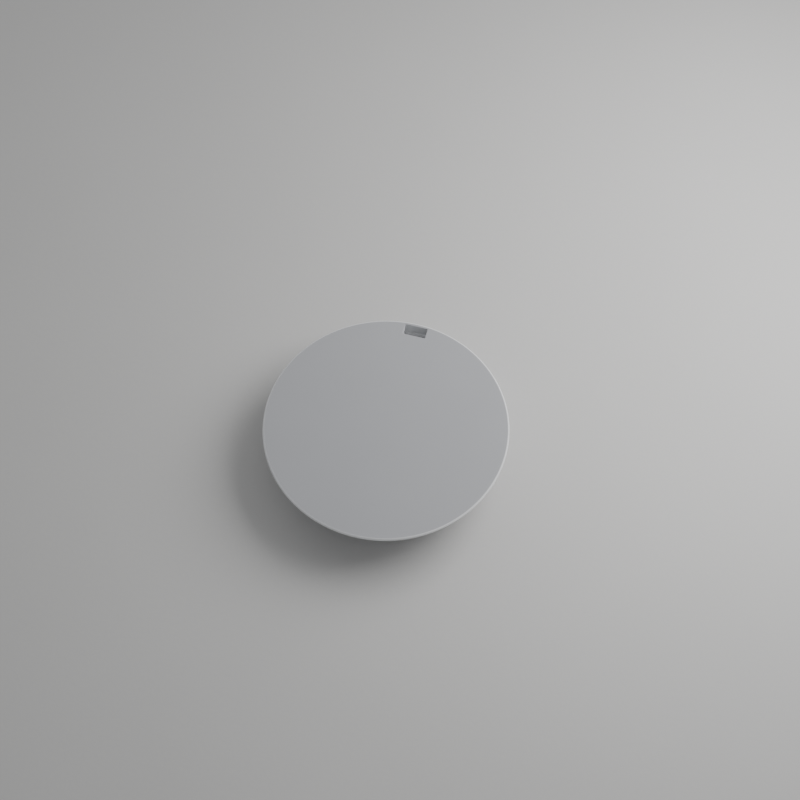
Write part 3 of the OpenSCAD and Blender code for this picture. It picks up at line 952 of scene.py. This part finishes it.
# ---- Rear shell ----

def saucer_side(sizes):
    """Corners up the outside of the shell, from its base to the height of the strap bar."""
    base_r = sizes.base_width / 2
    bar_top = FACE_Z - bpy.context.scene.tag_cover.skirt_depth - sizes.bar_gap
    return bend((base_r, 0), (base_r + 2.4 * MM, 1 * MM), (RIM_R, bar_top))


def saucer(sizes):
    """The turned part of the shell: base ring, flared side and upright rim."""
    bore_r = DOOR_R + 0.15 * MM
    ledge_z = DOOR_TOP - 0.65 * MM
    room_r = LUG_R + 0.25 * MM
    room_z = DOOR_TOP + 0.3 * MM
    inner_r = RIM_R - sizes.wall
    side = saucer_side(sizes)
    room = bend((room_r, room_z), (room_r + 2.3 * MM, room_z + 0.4 * MM), (inner_r, side[-1][1]))
    outline = rounded(
        [(bore_r, 0, 0.15 * MM), (side[0][0], 0, 0.35 * MM)] + side[2:]
        + [(RIM_R, RIM_Z, 0.15 * MM), (inner_r, RIM_Z, 0.1 * MM)] + room[::-1]
        + [(room_r, ledge_z, 0), (bore_r, ledge_z, 0.08 * MM)])
    return turned("rear_shell_moulding", outline, 256, closed=True)


def saucer_space(sizes):
    """Everything inside the shell's outer surface, with which its inner parts are trimmed."""
    side = saucer_side(sizes)
    return turned("space", rounded(
        [(0, 0, 0)] + side + [(RIM_R, RIM_Z, 0.15 * MM), (0, RIM_Z, 0)], closed=False), 256)


def strap_lug(sizes, near):
    """Rounded lug under the skirt, which carries the strap."""
    bar_top = saucer_side(sizes)[-1][1]
    bar_z = bar_top - sizes.bar_height
    lug = slot_ear(near, BAR_R, bar_z, bar_top)
    depth = 2 * (BAR_R - near + sizes.slot_wall)
    outside = prism("outside", rounded(box_corners((0, BAR_R), BODY_R, depth)),
                    bar_z - OVERRUN, bar_top + OVERRUN)
    return combine(lug, "INTERSECT", outside)


def inner_parts(sizes, near):
    """Slot walls and screw bosses, trimmed to the inside of the shell."""
    length = bpy.context.scene.tag_cover.slot_length
    foot = DOOR_TOP + 0.3 * MM
    walls = prism("walls", rounded(box_corners(
        (0, BODY_R), length + 2 * sizes.slot_wall, 2 * (BODY_R - near + sizes.slot_wall),
        0.25 * MM)), foot, RIM_Z)
    boss_r = 1.15 * MM
    boss = turned("boss", rounded([
        (0, foot, 0), (boss_r, foot, 0), (boss_r, BOARD_Z, 0.1 * MM), (0, BOARD_Z, 0),
    ], closed=False), 48)
    web = prism("web", rounded(box_corners((1.5 * MM, 0), 3 * MM, 0.8 * MM)), foot,
                BOARD_Z - 1 * MM)
    combine(boss, "UNION", web)
    bosses = ring_of("bosses", boss, 3, 90, radius=sizes.screw_radius)
    combine(walls, "UNION", bosses)
    return combine(walls, "INTERSECT", saucer_space(sizes))


def hook_pockets(scene):
    """Cutting solids for the windows that the cover's hooks snap into."""
    barb_r = RIM_R - 1 * MM
    half = 0.5 * MM
    length = scene.tag_cover.hook_width + 0.4 * MM
    pocket = prism("pocket", rounded(box_corners((barb_r - 0.35 * MM, 0), 2 * half, length)),
                   HOOK_Z - 0.35 * MM, HOOK_Z + 0.6 * MM)
    return ring_of("pockets", pocket, 4, 45)


def thread_channels(door):
    """Cutting solids for the channels that the door's lugs run in."""
    foot_z = DOOR_TOP - 0.6 * MM
    play = math.radians(4)
    channel = thread_band("channel", DOOR_R - 0.35 * MM, LUG_R + 0.2 * MM, door.lug_angle + play,
                          -0.1 * MM, foot_z + 0.05 * MM, door.thread_lead, foot_z)
    return ring_of("channels", channel, door.thread_starts, 60)


def pilot_holes(sizes):
    """Cutting solids for the screws' pilot holes."""
    pilot = turned("pilot", [(0, BOARD_Z - 2.5 * MM), (0.5 * MM, BOARD_Z - 2.3 * MM),
                             (0.5 * MM, BOARD_Z + OVERRUN), (0, BOARD_Z + OVERRUN)], 32)
    return ring_of("pilots", pilot, 3, 90, radius=sizes.screw_radius)


def door_dots(door):
    """Cutting solids for the dots that show where the door is shut and where it is loose."""
    loose = -math.degrees(DOOR_TOP / door.thread_lead * 2 * math.pi)
    dot = turned("dot", [(0, -OVERRUN), (0.3 * MM, -OVERRUN), (0.3 * MM, 0.1 * MM),
                         (0, 0.15 * MM)], 32)
    return ring_of("dots", dot, 2, 90, loose, DOOR_R + 0.8 * MM)


def make_shell(scene):
    """The saucer, its inner parts and strap lug, and everything that is cut from them."""
    sizes = scene.tag_shell
    near, far = slot_places(scene.tag_cover)
    shell = saucer(sizes)
    combine(shell, "UNION", inner_parts(sizes, near), strap_lug(sizes, near))
    levels = [(-OVERRUN, 0), (RIM_Z + OVERRUN, 0)]
    combine(shell, "DIFFERENCE", slot_cutter(near, far - sizes.slot_ledge, levels),
            hook_pockets(scene), thread_channels(scene.tag_door), pilot_holes(sizes),
            door_dots(scene.tag_door))
    finish(shell, material("shell_plastic"), "rear_body", "shell_plastic", "rear_shell")


def make_cover_gasket():
    """Foam seal under the cover, with its cut edges slightly crushed."""
    gasket = soften(cad_copy("cover_gasket_foam", "cover_gasket"), 0.05 * MM)
    finish(gasket, material("foam_seal"), "rear_body", "foam_seal", "cover_gasket")


# ---- Battery door ----

def door_body(sizes):
    """The turned part of the door: disc, raised ring and seal groove."""
    disc_top = DOOR_Z + sizes.disc
    groove_r = DOOR_R - 0.65 * MM
    half = 0.29 * MM
    groove_z = DOOR_TOP - 0.24 * MM
    inner_r = DOOR_R - sizes.ring_wall
    edge = 0.08 * MM
    return turned("battery_door_moulding", rounded([
        (0, DOOR_Z, 0), (DOOR_R * 0.7, DOOR_Z, 0), (DOOR_R, DOOR_Z, 0.2 * MM),
        (DOOR_R, DOOR_TOP, edge), (groove_r + half, DOOR_TOP, edge),
        (groove_r + half, groove_z, edge), (groove_r - half, groove_z, edge),
        (groove_r - half, DOOR_TOP, edge), (inner_r, DOOR_TOP, edge),
        (inner_r, disc_top, 0.2 * MM), (0, disc_top, 0),
    ], closed=False), 192)


def door_lugs(sizes):
    """The lugs that climb the shell's thread."""
    foot_z = DOOR_TOP - 0.6 * MM
    lug = thread_band("lug", DOOR_R - 0.3 * MM, LUG_R, sizes.lug_angle, foot_z, DOOR_TOP,
                      sizes.thread_lead, foot_z)
    return ring_of("lugs", soften(lug, 0.06 * MM), sizes.thread_starts, 60)


def coin_slot(sizes):
    """Cutting solid for the coin slot, with a rounded floor and a rounded edge."""
    floor_z = DOOR_Z + sizes.coin_depth
    levels = [(floor_z, -0.12 * MM), (floor_z - 0.04 * MM, -0.04 * MM), (floor_z - 0.12 * MM, 0)]
    return flared_cutter("coin", (0, 0), sizes.coin_length, sizes.coin_width,
                         sizes.coin_width / 2 - 0.01 * MM, levels + lip(DOOR_Z, 0.15 * MM, -1))


def make_door(scene):
    """The door with its lugs, coin slot and marking dot."""
    sizes = scene.tag_door
    door = combine(door_body(sizes), "UNION", door_lugs(sizes))
    dot = turned("dot", [(0, DOOR_Z - OVERRUN), (0.45 * MM, DOOR_Z - OVERRUN),
                         (0.36 * MM, DOOR_Z + 0.1 * MM), (0, DOOR_Z + 0.15 * MM)], 32,
                 (0, DOOR_R - 1.1 * MM))
    combine(door, "DIFFERENCE", coin_slot(sizes), dot)
    finish(door, material("shell_plastic"), "door_body", "shell_plastic", "battery_door")


def make_door_seal():
    """Rubber O-ring in the door's groove."""
    section = (high("door_seal").z - low("door_seal").z) / 2
    middle_r = high("door_seal").x - section
    middle_z = SEAL_Z - section
    steps = 20
    outline = [(middle_r + section * math.cos(2 * math.pi * k / steps),
                middle_z + section * math.sin(2 * math.pi * k / steps)) for k in range(steps)]
    seal = turned("door_seal_ring", outline, 160, closed=True)
    finish(seal, material("soft_rubber"), "door_body", "soft_rubber", "door_seal")


# ---- Coin cell ----

def plus_sign(length, floor_z):
    """Cutting solid for a shallow stamped plus sign."""
    arm = length / 5
    levels = [(floor_z, -0.05 * MM), (CELL_Z - OVERRUN, 0.1 * MM)]
    across = flared_cutter("across", (0, 0), length, arm, 0.2 * MM, levels)
    along = flared_cutter("along", (0, 0), arm, length, 0.2 * MM, levels)
    return combine(across, "UNION", along)


def make_can(scene):
    """The cell's steel can, crimped at its top and stamped in its floor."""
    sizes = scene.tag_cell
    metal_t = sizes.metal
    height = CELL_TOP - CELL_Z
    inner = CELL_R - metal_t
    fine = 0.06 * MM
    can = turned("cell_can_steel", rounded([
        (0, CELL_Z + 0.04 * MM, 0),
        (CELL_R * 0.62, CELL_Z + 0.04 * MM, 0.3 * MM),
        (CELL_R * 0.66, CELL_Z, 0.3 * MM),
        (CELL_R, CELL_Z, 0.32 * MM),
        (CELL_R, CELL_Z + height - 0.6 * MM, 0.15 * MM),
        (CELL_R - 0.45 * MM, CELL_Z + height - 0.3 * MM, fine),
        (CELL_R - 0.6 * MM, CELL_Z + height - 0.45 * MM, fine),
        (inner, CELL_Z + height - 0.75 * MM, fine),
        (inner, CELL_Z + metal_t, fine),
        (0, CELL_Z + metal_t, 0),
    ], closed=False), 192)
    combine(can, "DIFFERENCE", plus_sign(sizes.mark, CELL_Z + 0.12 * MM))
    finish(can, material("cell_steel"), "cell_body", "cell_steel", "cell_can")


def make_cap(scene):
    """The cell's steel cap, with a flange at its foot."""
    sizes = scene.tag_cell
    metal_t = sizes.metal
    cap_r = CELL_R - sizes.cap_inset
    foot = CELL_Z + 1.9 * MM
    fine = 0.05 * MM
    cap = turned("cell_cap_steel", rounded([
        (0, CELL_TOP - metal_t, 0), (cap_r - metal_t, CELL_TOP - metal_t, fine),
        (cap_r - metal_t, foot, fine), (cap_r + 0.4 * MM, foot, fine),
        (cap_r + 0.4 * MM, foot + 0.2 * MM, fine), (cap_r, foot + 0.2 * MM, fine),
        (cap_r, CELL_TOP - 0.06 * MM, 0.3 * MM), (cap_r * 0.86, CELL_TOP - 0.06 * MM, 0.2 * MM),
        (cap_r * 0.83, CELL_TOP, 0.2 * MM), (0, CELL_TOP, 0),
    ], closed=False), 192)
    finish(cap, material("cell_steel"), "cell_body", "cell_steel", "cell_cap")


def make_cell_filling(scene):
    """The insulating ring, and the discs that the can holds."""
    cap_r = CELL_R - scene.tag_cell.cap_inset
    inner = cap_r + 0.03 * MM
    outer = high("cell_gasket").x
    step_r = cap_r + 0.43 * MM
    foot, top = low("cell_gasket").z, high("cell_gasket").z
    flange = CELL_Z + 2 * MM
    half = 0.13 * MM
    ring = turned("cell_gasket_ring", rounded([
        (inner, foot, 0.1 * MM), (outer, foot, 0.1 * MM), (outer, CELL_Z + 2.4 * MM, 0.1 * MM),
        (step_r, top, 0.05 * MM), (inner, top, 0.05 * MM), (inner, flange + half, 0),
        (step_r, flange + half, 0), (step_r, flange - half, 0), (inner, flange - half, 0),
    ]), 160, closed=True)
    finish(ring, material("cell_plastic"), "cell_body", "cell_plastic", "cell_gasket")
    discs = {"cathode_pellet": ("cathode_mix", 0.12), "separator": ("separator_film", 0.02),
             "lithium_disc": ("lithium", 0.15)}
    for node, (slot, edge) in discs.items():
        r, z0, z1 = high(node).x, low(node).z, high(node).z
        disc = turned(node + "_disc", rounded([
            (0, z0, 0), (r, z0, edge * MM), (r, z1, edge * MM), (0, z1, 0)], closed=False), 128)
        finish(disc, material(slot), "cell_body", slot, node)


# ---- Cradle and contacts ----

def cradle_stud(plate_z):
    """Ear with a stud that passes through the board and is spread over it."""
    ear = prism("ear", rounded(box_corners((-0.6 * MM, 0), 1.6 * MM, 2 * MM, 0.2 * MM)), plate_z,
                BOARD_Z)
    head_z = high("battery_cradle").z
    post = turned("post", rounded([
        (0, plate_z, 0), (1 * MM, plate_z, 0.05 * MM), (1 * MM, BOARD_Z, 0.05 * MM),
        (0.45 * MM, BOARD_Z, 0), (0.45 * MM, BOARD_TOP, 0), (0.75 * MM, BOARD_TOP, 0.03 * MM),
        (0.7 * MM, head_z, 0.12 * MM), (0, head_z, 0),
    ], closed=False), 40)
    return combine(ear, "UNION", post)


def make_cradle(scene):
    """The cell's collar, with a window for a contact and three studs."""
    inner = CELL_R + 0.25 * MM
    foot = low("battery_cradle").z
    plate_z = CELL_TOP + 0.1 * MM
    edge = 0.12 * MM
    cradle = turned("battery_cradle_moulding", rounded([
        (inner, foot, edge), (inner + 2.2 * MM, foot, edge),
        (inner + 2.2 * MM, foot + 0.5 * MM, edge), (inner + 1.05 * MM, foot + 0.5 * MM, 0.2 * MM),
        (inner + 1.05 * MM, BOARD_Z, edge), (7.2 * MM, BOARD_Z, edge),
        (7.2 * MM, plate_z, edge), (inner, plate_z, 0.2 * MM),
    ]), 160, closed=True)
    studs = ring_of("studs", cradle_stud(plate_z), 3, 30, radius=scene.tag_board.stud_radius)
    window = prism("window", rounded(box_corners((inner + 0.9 * MM, 0), 3.6 * MM, 3.6 * MM,
                                                 0.2 * MM)), foot + 0.5 * MM, BOARD_Z + OVERRUN)
    combine(cradle, "UNION", studs)
    combine(cradle, "DIFFERENCE", window)
    finish(cradle, material("inner_plastic"), "rear_body", "inner_plastic", "battery_cradle")


# ---- Pieces whose CAD shape is right, but too sharp ----

def softened(node, width, slot, body="rear_body"):
    """A copy of a CAD node with its edges rounded stands for the node."""
    piece = soften(cad_copy(node + "_piece", node), width * MM)
    finish(piece, material(slot), body, slot, node)


def make_contacts():
    for node in ("positive_contact", "negative_contact"):
        softened(node, 0.03, "nickel")
    softened("buzzer_contacts", 0.02, "gold_plate")


# ---- Circuit board ----

def make_screws(scene):
    """Pan-head screws with a cross recess and rolled thread rings."""
    head_r = 0.95 * MM
    head_h = 0.45 * MM
    core_r, crest_r = 0.36 * MM, 0.44 * MM
    pitch = 0.3 * MM
    turns = 6
    tip = BOARD_Z - 2.2 * MM
    rings = []
    for k in range(turns):
        z = tip + 0.15 * MM + k * pitch
        rings += [(core_r, z, 0), (crest_r, z + pitch / 2, 0)]
    screw = turned("screw", rounded(
        [(0, tip, 0)] + rings + [
            (core_r, BOARD_TOP, 0), (head_r, BOARD_TOP, 0.04 * MM),
            (head_r * 0.86, BOARD_TOP + head_h, 0.14 * MM), (0, BOARD_TOP + head_h, 0)],
        closed=False), 40)
    depth = BOARD_TOP + head_h - 0.2 * MM
    levels = [(depth, -0.04 * MM), (depth + OVERRUN, 0.02 * MM)]
    arms = [flared_cutter("arm", (0, 0), *sides, 0.05 * MM, levels)
            for sides in ((1 * MM, 0.22 * MM), (0.22 * MM, 1 * MM))]
    combine(screw, "DIFFERENCE", *arms)
    screws = ring_of("pcb_screw_set", screw, 3, 90, radius=scene.tag_shell.screw_radius)
    finish(screws, material("screw_steel"), "rear_body", "screw_steel", "pcb_screws")


def plated_ring(name, outer, inner, z0, z1, segments=24):
    """A flat plated ring."""
    return turned(name, [(inner, z0), (outer, z0), (outer, z1), (inner, z1)], segments,
                  closed=True)


def make_board_plating(scene):
    """Plated pads round the screw holes, scattered vias, and the test pads."""
    sizes = scene.tag_board
    film = 0.015 * MM
    top = BOARD_TOP + film
    screw_pad = plated_ring("pad", 1.05 * MM, 0.62 * MM, BOARD_TOP - film, top)
    pads = ring_of("board_screw_pads", screw_pad, 3, 90, radius=scene.tag_shell.screw_radius)
    finish(pads, material("gold_plate"), "rear_body", "gold_plate")
    via = plated_ring("via", sizes.via_width / 2, sizes.via_width / 5, BOARD_TOP - film, top, 10)
    field = turned("board_vias", [(0, 0), (BOARD_R * 0.68, 0)], 48)
    run_tree(field, scatter_tree, {"Piece": via, "Density": sizes.vias, "Spacing": 0.9 * MM,
                                   "Seed": 7})
    bpy.data.objects.remove(via)
    finish(field, material("gold_plate"), "rear_body", "gold_plate")
    z0, z1 = low("test_pads").z, high("test_pads").z
    r = 0.5 * MM
    pad = turned("test_pad", rounded([(0, z1, 0), (r, z1, 0), (r, z0, 0.02 * MM), (0, z0, 0)],
                                     closed=False), 32)
    places = [((a.x + b.x) / 2, (a.y + b.y) / 2, 0) for a, b in solids("test_pads")]
    finish(copies_at("test_pad_set", pad, places), material("gold_plate"), "rear_body",
           "gold_plate", "test_pads")


def make_board(scene):
    softened("pcb", 0.04, "circuit_board")
    make_screws(scene)
    make_board_plating(scene)


def chip_pads(name, node, pads, pitch):
    """Tinned pads along the four sides of a square chip."""
    lo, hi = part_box(node)
    centre = (lo + hi) / 2
    reach = (hi.x - lo.x) / 2
    pad = prism("pad", rounded(box_corners((0, 0), 0.3 * MM, pitch / 2, 0.03 * MM)), BOARD_TOP,
                BOARD_TOP + 0.12 * MM)
    places = []
    for side in range(4):
        to_side = Matrix.Rotation(side * math.pi / 2, 3, "Z")
        for k in range(pads):
            place = to_side @ Vector((reach - 0.1 * MM, (k - (pads - 1) / 2) * pitch, 0))
            places.append((centre.x + place.x, centre.y + place.y, 0))
    finish(copies_at(name, pad, places), material("tin"), "rear_body", "gold_plate")


def make_chips():
    softened("soc_chip", 0.05, "chip_resin")
    softened("boost_chip", 0.05, "chip_resin")
    softened("main_crystal", 0.06, "crystal_can")
    softened("clock_crystal", 0.06, "crystal_can")
    softened("chip_antenna", 0.05, "aerial_ceramic")
    softened("power_inductor", 0.08, "ferrite")
    chip_pads("soc_chip_pads", "soc_chip", 9, 0.5 * MM)
    chip_pads("boost_chip_pads", "boost_chip", 3, 0.55 * MM)


def tinned_ends(name, node, tin_length):
    """A tinned cap with a solder fillet over both ends of every chip in a CAD node."""
    boxes = solids(node)
    lo, hi = boxes[0]
    length, width = hi.x - lo.x, hi.y - lo.y
    height = hi.z - lo.z
    skin = 0.02 * MM
    levels = [(BOARD_TOP, 0.1 * MM), (BOARD_TOP + 0.06 * MM, 0.03 * MM),
              (BOARD_TOP + 0.18 * MM, 0), (BOARD_TOP + height, 0),
              (BOARD_TOP + height + skin, -0.02 * MM)]
    ends = [flared_cutter("end", (side * (length - tin_length) / 2, 0), tin_length + 2 * skin,
                          width + 2 * skin, 0.05 * MM, levels) for side in (-1, 1)]
    pair = combine(ends[0], "UNION", ends[1])
    places = [((a.x + b.x) / 2, (a.y + b.y) / 2, 0) for a, b in boxes]
    finish(copies_at(name, pair, places), material("tin"), "rear_body", "nickel")


def make_passives(scene):
    tin_length = scene.tag_board.tin_length
    softened("capacitors", 0.06, "capacitor_ceramic")
    softened("resistors", 0.04, "chip_resin")
    tinned_ends("capacitor_ends", "capacitors", tin_length)
    tinned_ends("resistor_ends", "resistors", tin_length)


# ---- Tact switch and sounder ----

def make_switch():
    softened("switch_base", 0.06, "switch_plastic")
    softened("switch_frame", 0.02, "spring_steel")
    softened("switch_dome", 0.01, "spring_steel")
    foot, top = low("switch_plunger").z, high("switch_plunger").z
    flange = high("switch_plunger").x
    stem = 0.75 * flange
    plunger = turned("switch_plunger_stem", rounded([
        (0, foot, 0), (flange, foot, 0.02 * MM), (flange, foot + 0.08 * MM, 0.02 * MM),
        (stem, foot + 0.08 * MM, 0.02 * MM), (stem, top, 0.06 * MM), (0, top, 0),
    ], closed=False), 64)
    finish(plunger, material("switch_plastic"), "plunger_body", "switch_plastic",
           "switch_plunger")


def make_sounder():
    """Foam ring, brass plate with a turned edge, and the ceramic disc."""
    centre = (0, SOUNDER_Y)
    lo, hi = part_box("buzzer_ring")
    outer, inner = hi.x, hi.x - 0.8 * MM
    soft = 0.06 * MM
    ring = turned("buzzer_ring_foam", rounded([
        (inner, lo.z, soft), (outer, lo.z, soft), (outer, hi.z, soft), (inner, hi.z, soft)]),
        96, centre, closed=True)
    finish(ring, material("foam_seal"), "cover_body", "foam_seal", "buzzer_ring")
    for node, slot in (("buzzer_plate", "sounder_brass"), ("buzzer_ceramic", "sounder_ceramic")):
        lo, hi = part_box(node)
        disc = turned(node + "_disc", rounded([
            (0, lo.z, 0), (hi.x, lo.z, 0.04 * MM), (hi.x, hi.z, 0.04 * MM), (0, hi.z, 0),
        ], closed=False), 96, centre)
        finish(disc, material(slot), "cover_body", slot, node)


# ---- Stage ----

def camera_axes(sizes):
    """The camera's right, up and backward directions."""
    turned_by = sizes.azimuth
    right = Vector((math.cos(turned_by), math.sin(turned_by), 0))
    ahead = Vector((-math.sin(turned_by), math.cos(turned_by), 0))
    rise = sizes.elevation
    backward = Vector((0, 0, math.sin(rise))) - ahead * math.cos(rise)
    return right, backward.cross(right), backward


def aim(obj, place, target):
    """Puts a camera or a light at a place and points it at a target."""
    obj.location = place
    obj.rotation_euler = (place - target).to_track_quat("Z", "Y").to_euler()


def make_camera(sizes):
    right, up, backward = camera_axes(sizes)
    target = Vector((0, 0, FACE_Z)) + right * sizes.aim_right + up * sizes.aim_up
    data = bpy.data.cameras.new("camera")
    data.lens = data.sensor_width * sizes.distance / sizes.picture
    data.clip_start = 1 * MM
    data.clip_end = 20
    camera = add_object("camera", data)
    camera.location = target + backward * sizes.distance
    camera.rotation_euler = Matrix((right, up, backward)).transposed().to_euler()
    bpy.context.scene.camera = camera


def add_light(name, sizes, side, rise, distance, span, power):
    """A soft light: side is its turn clockwise from the camera's view, span its two sides."""
    heading = sizes.azimuth - math.radians(side)
    flat = Vector((-math.sin(heading), math.cos(heading), 0)) * math.cos(math.radians(rise))
    place = (flat + Vector((0, 0, math.sin(math.radians(rise))))) * distance
    data = bpy.data.lights.new(name, "AREA")
    data.shape = "RECTANGLE"
    data.size, data.size_y = span
    data.energy = power
    aim(add_object(name, data), place, Vector((0, 0, 0)))


def make_sky(sizes):
    world = bpy.data.worlds.new("sky")
    world.use_nodes = True
    sheet = NodeSheet(world.node_tree)
    seen = sheet.node("ShaderNodeLightPath", output="Is Camera Ray")
    background = world.node_tree.nodes["Background"]
    background.inputs["Color"].default_value = (0.96, 0.98, 1, 1)
    strength = seen * (sizes.backdrop - sizes.sky) + sizes.sky
    world.node_tree.links.new(strength.socket, background.inputs["Strength"])
    bpy.context.scene.world = world


def make_floor(sizes):
    reach = 1.5
    mesh = bpy.data.meshes.new("table_top")
    mesh.from_pydata([(-reach, -reach, 0), (reach, -reach, 0), (reach, reach, 0),
                      (-reach, reach, 0)], [], [(0, 1, 2, 3)])
    floor = add_object("table_top", mesh)
    mesh.materials.append(table_top("table_top", sizes.floor))


# ---- Operators ----

class BuildStep(bpy.types.Operator):
    """Shared form of the steps: each has a build method"""
    bl_idname = "tag.build_step"
    bl_label = "Build step"
    bl_options = {"REGISTER", "UNDO"}

    def execute(self, context):
        self.build(context.scene)
        return {"FINISHED"}


class MakeStage(BuildStep):
    """Add the camera, the soft lights, the sky and the table"""
    bl_idname = "tag.make_stage"
    bl_label = "Stage"

    def build(self, scene):
        sizes = scene.tag_stage
        make_camera(sizes)
        key = {"side": 8, "rise": 60, "distance": 0.38, "span": (0.7, 0.5)}
        near_right = {"side": 66, "rise": 44, "distance": 0.13, "span": (0.1, 0.1)}
        add_light("key_light", sizes, **key, power=sizes.key_power)
        add_light("side_light", sizes, **near_right, power=sizes.side_power)
        make_sky(sizes)
        make_floor(sizes)


class MakeCover(BuildStep):
    """Make the front cover and its rubber button pad"""
    bl_idname = "tag.make_cover"
    bl_label = "Front cover"

    def build(self, scene):
        make_cover(scene)
        make_button_pad()


class MakeShell(BuildStep):
    """Make the rear shell and the foam seal on its rim"""
    bl_idname = "tag.make_shell"
    bl_label = "Rear shell"

    def build(self, scene):
        make_shell(scene)
        make_cover_gasket()


class MakeDoor(BuildStep):
    """Make the battery door and its O-ring"""
    bl_idname = "tag.make_door"
    bl_label = "Battery door"

    def build(self, scene):
        make_door(scene)
        make_door_seal()


class MakeCell(BuildStep):
    """Make the coin cell and what is in it"""
    bl_idname = "tag.make_cell"
    bl_label = "Coin cell"

    def build(self, scene):
        make_can(scene)
        make_cap(scene)
        make_cell_filling(scene)


class MakeCradle(BuildStep):
    """Make the battery cradle and the leaf contacts"""
    bl_idname = "tag.make_cradle"
    bl_label = "Battery cradle"

    def build(self, scene):
        make_cradle(scene)
        make_contacts()


class MakeBoard(BuildStep):
    """Make the circuit board, its screws, vias and pads"""
    bl_idname = "tag.make_board"
    bl_label = "Circuit board"

    def build(self, scene):
        make_board(scene)


class MakeChips(BuildStep):
    """Make the chips, crystals, aerial and inductor"""
    bl_idname = "tag.make_chips"
    bl_label = "Chips"

    def build(self, scene):
        make_chips()


class MakePassives(BuildStep):
    """Make the capacitors and resistors with their tinned ends"""
    bl_idname = "tag.make_passives"
    bl_label = "Passives"

    def build(self, scene):
        make_passives(scene)


class MakeSwitch(BuildStep):
    """Make the tact switch under the button"""
    bl_idname = "tag.make_switch"
    bl_label = "Tact switch"

    def build(self, scene):
        make_switch()


class MakeSounder(BuildStep):
    """Make the sounder under the cover"""
    bl_idname = "tag.make_sounder"
    bl_label = "Sounder"

    def build(self, scene):
        make_sounder()


STEPS = (MakeStage, MakeCover, MakeShell, MakeDoor, MakeCell, MakeCradle, MakeBoard, MakeChips,
         MakePassives, MakeSwitch, MakeSounder)


class TagPanel(bpy.types.Panel):
    """Lists the steps and their sizes"""
    bl_idname = "VIEW3D_PT_key_finder_tag"
    bl_label = "Key-Finder Tag"
    bl_space_type = "VIEW_3D"
    bl_region_type = "UI"
    bl_category = "Tag"

    def draw(self, context):
        for step in STEPS:
            self.layout.operator(step.bl_idname)
        for name, group in SETTINGS.items():
            box = self.layout.box()
            for label in group.__annotations__:
                box.prop(getattr(context.scene, name), label)


def register():
    for cls in (*SETTINGS.values(), *STEPS, TagPanel):
        bpy.utils.register_class(cls)
    for name, group in SETTINGS.items():
        setattr(bpy.types.Scene, name, PointerProperty(type=group))


def unregister():
    for name in SETTINGS:
        delattr(bpy.types.Scene, name)
    for cls in (*SETTINGS.values(), *STEPS, TagPanel):
        bpy.utils.unregister_class(cls)


def main():
    register()
    for step in STEPS:
        group, operator = step.bl_idname.split(".")
        getattr(getattr(bpy.ops, group), operator)()


if __name__ == "__main__":
    main()
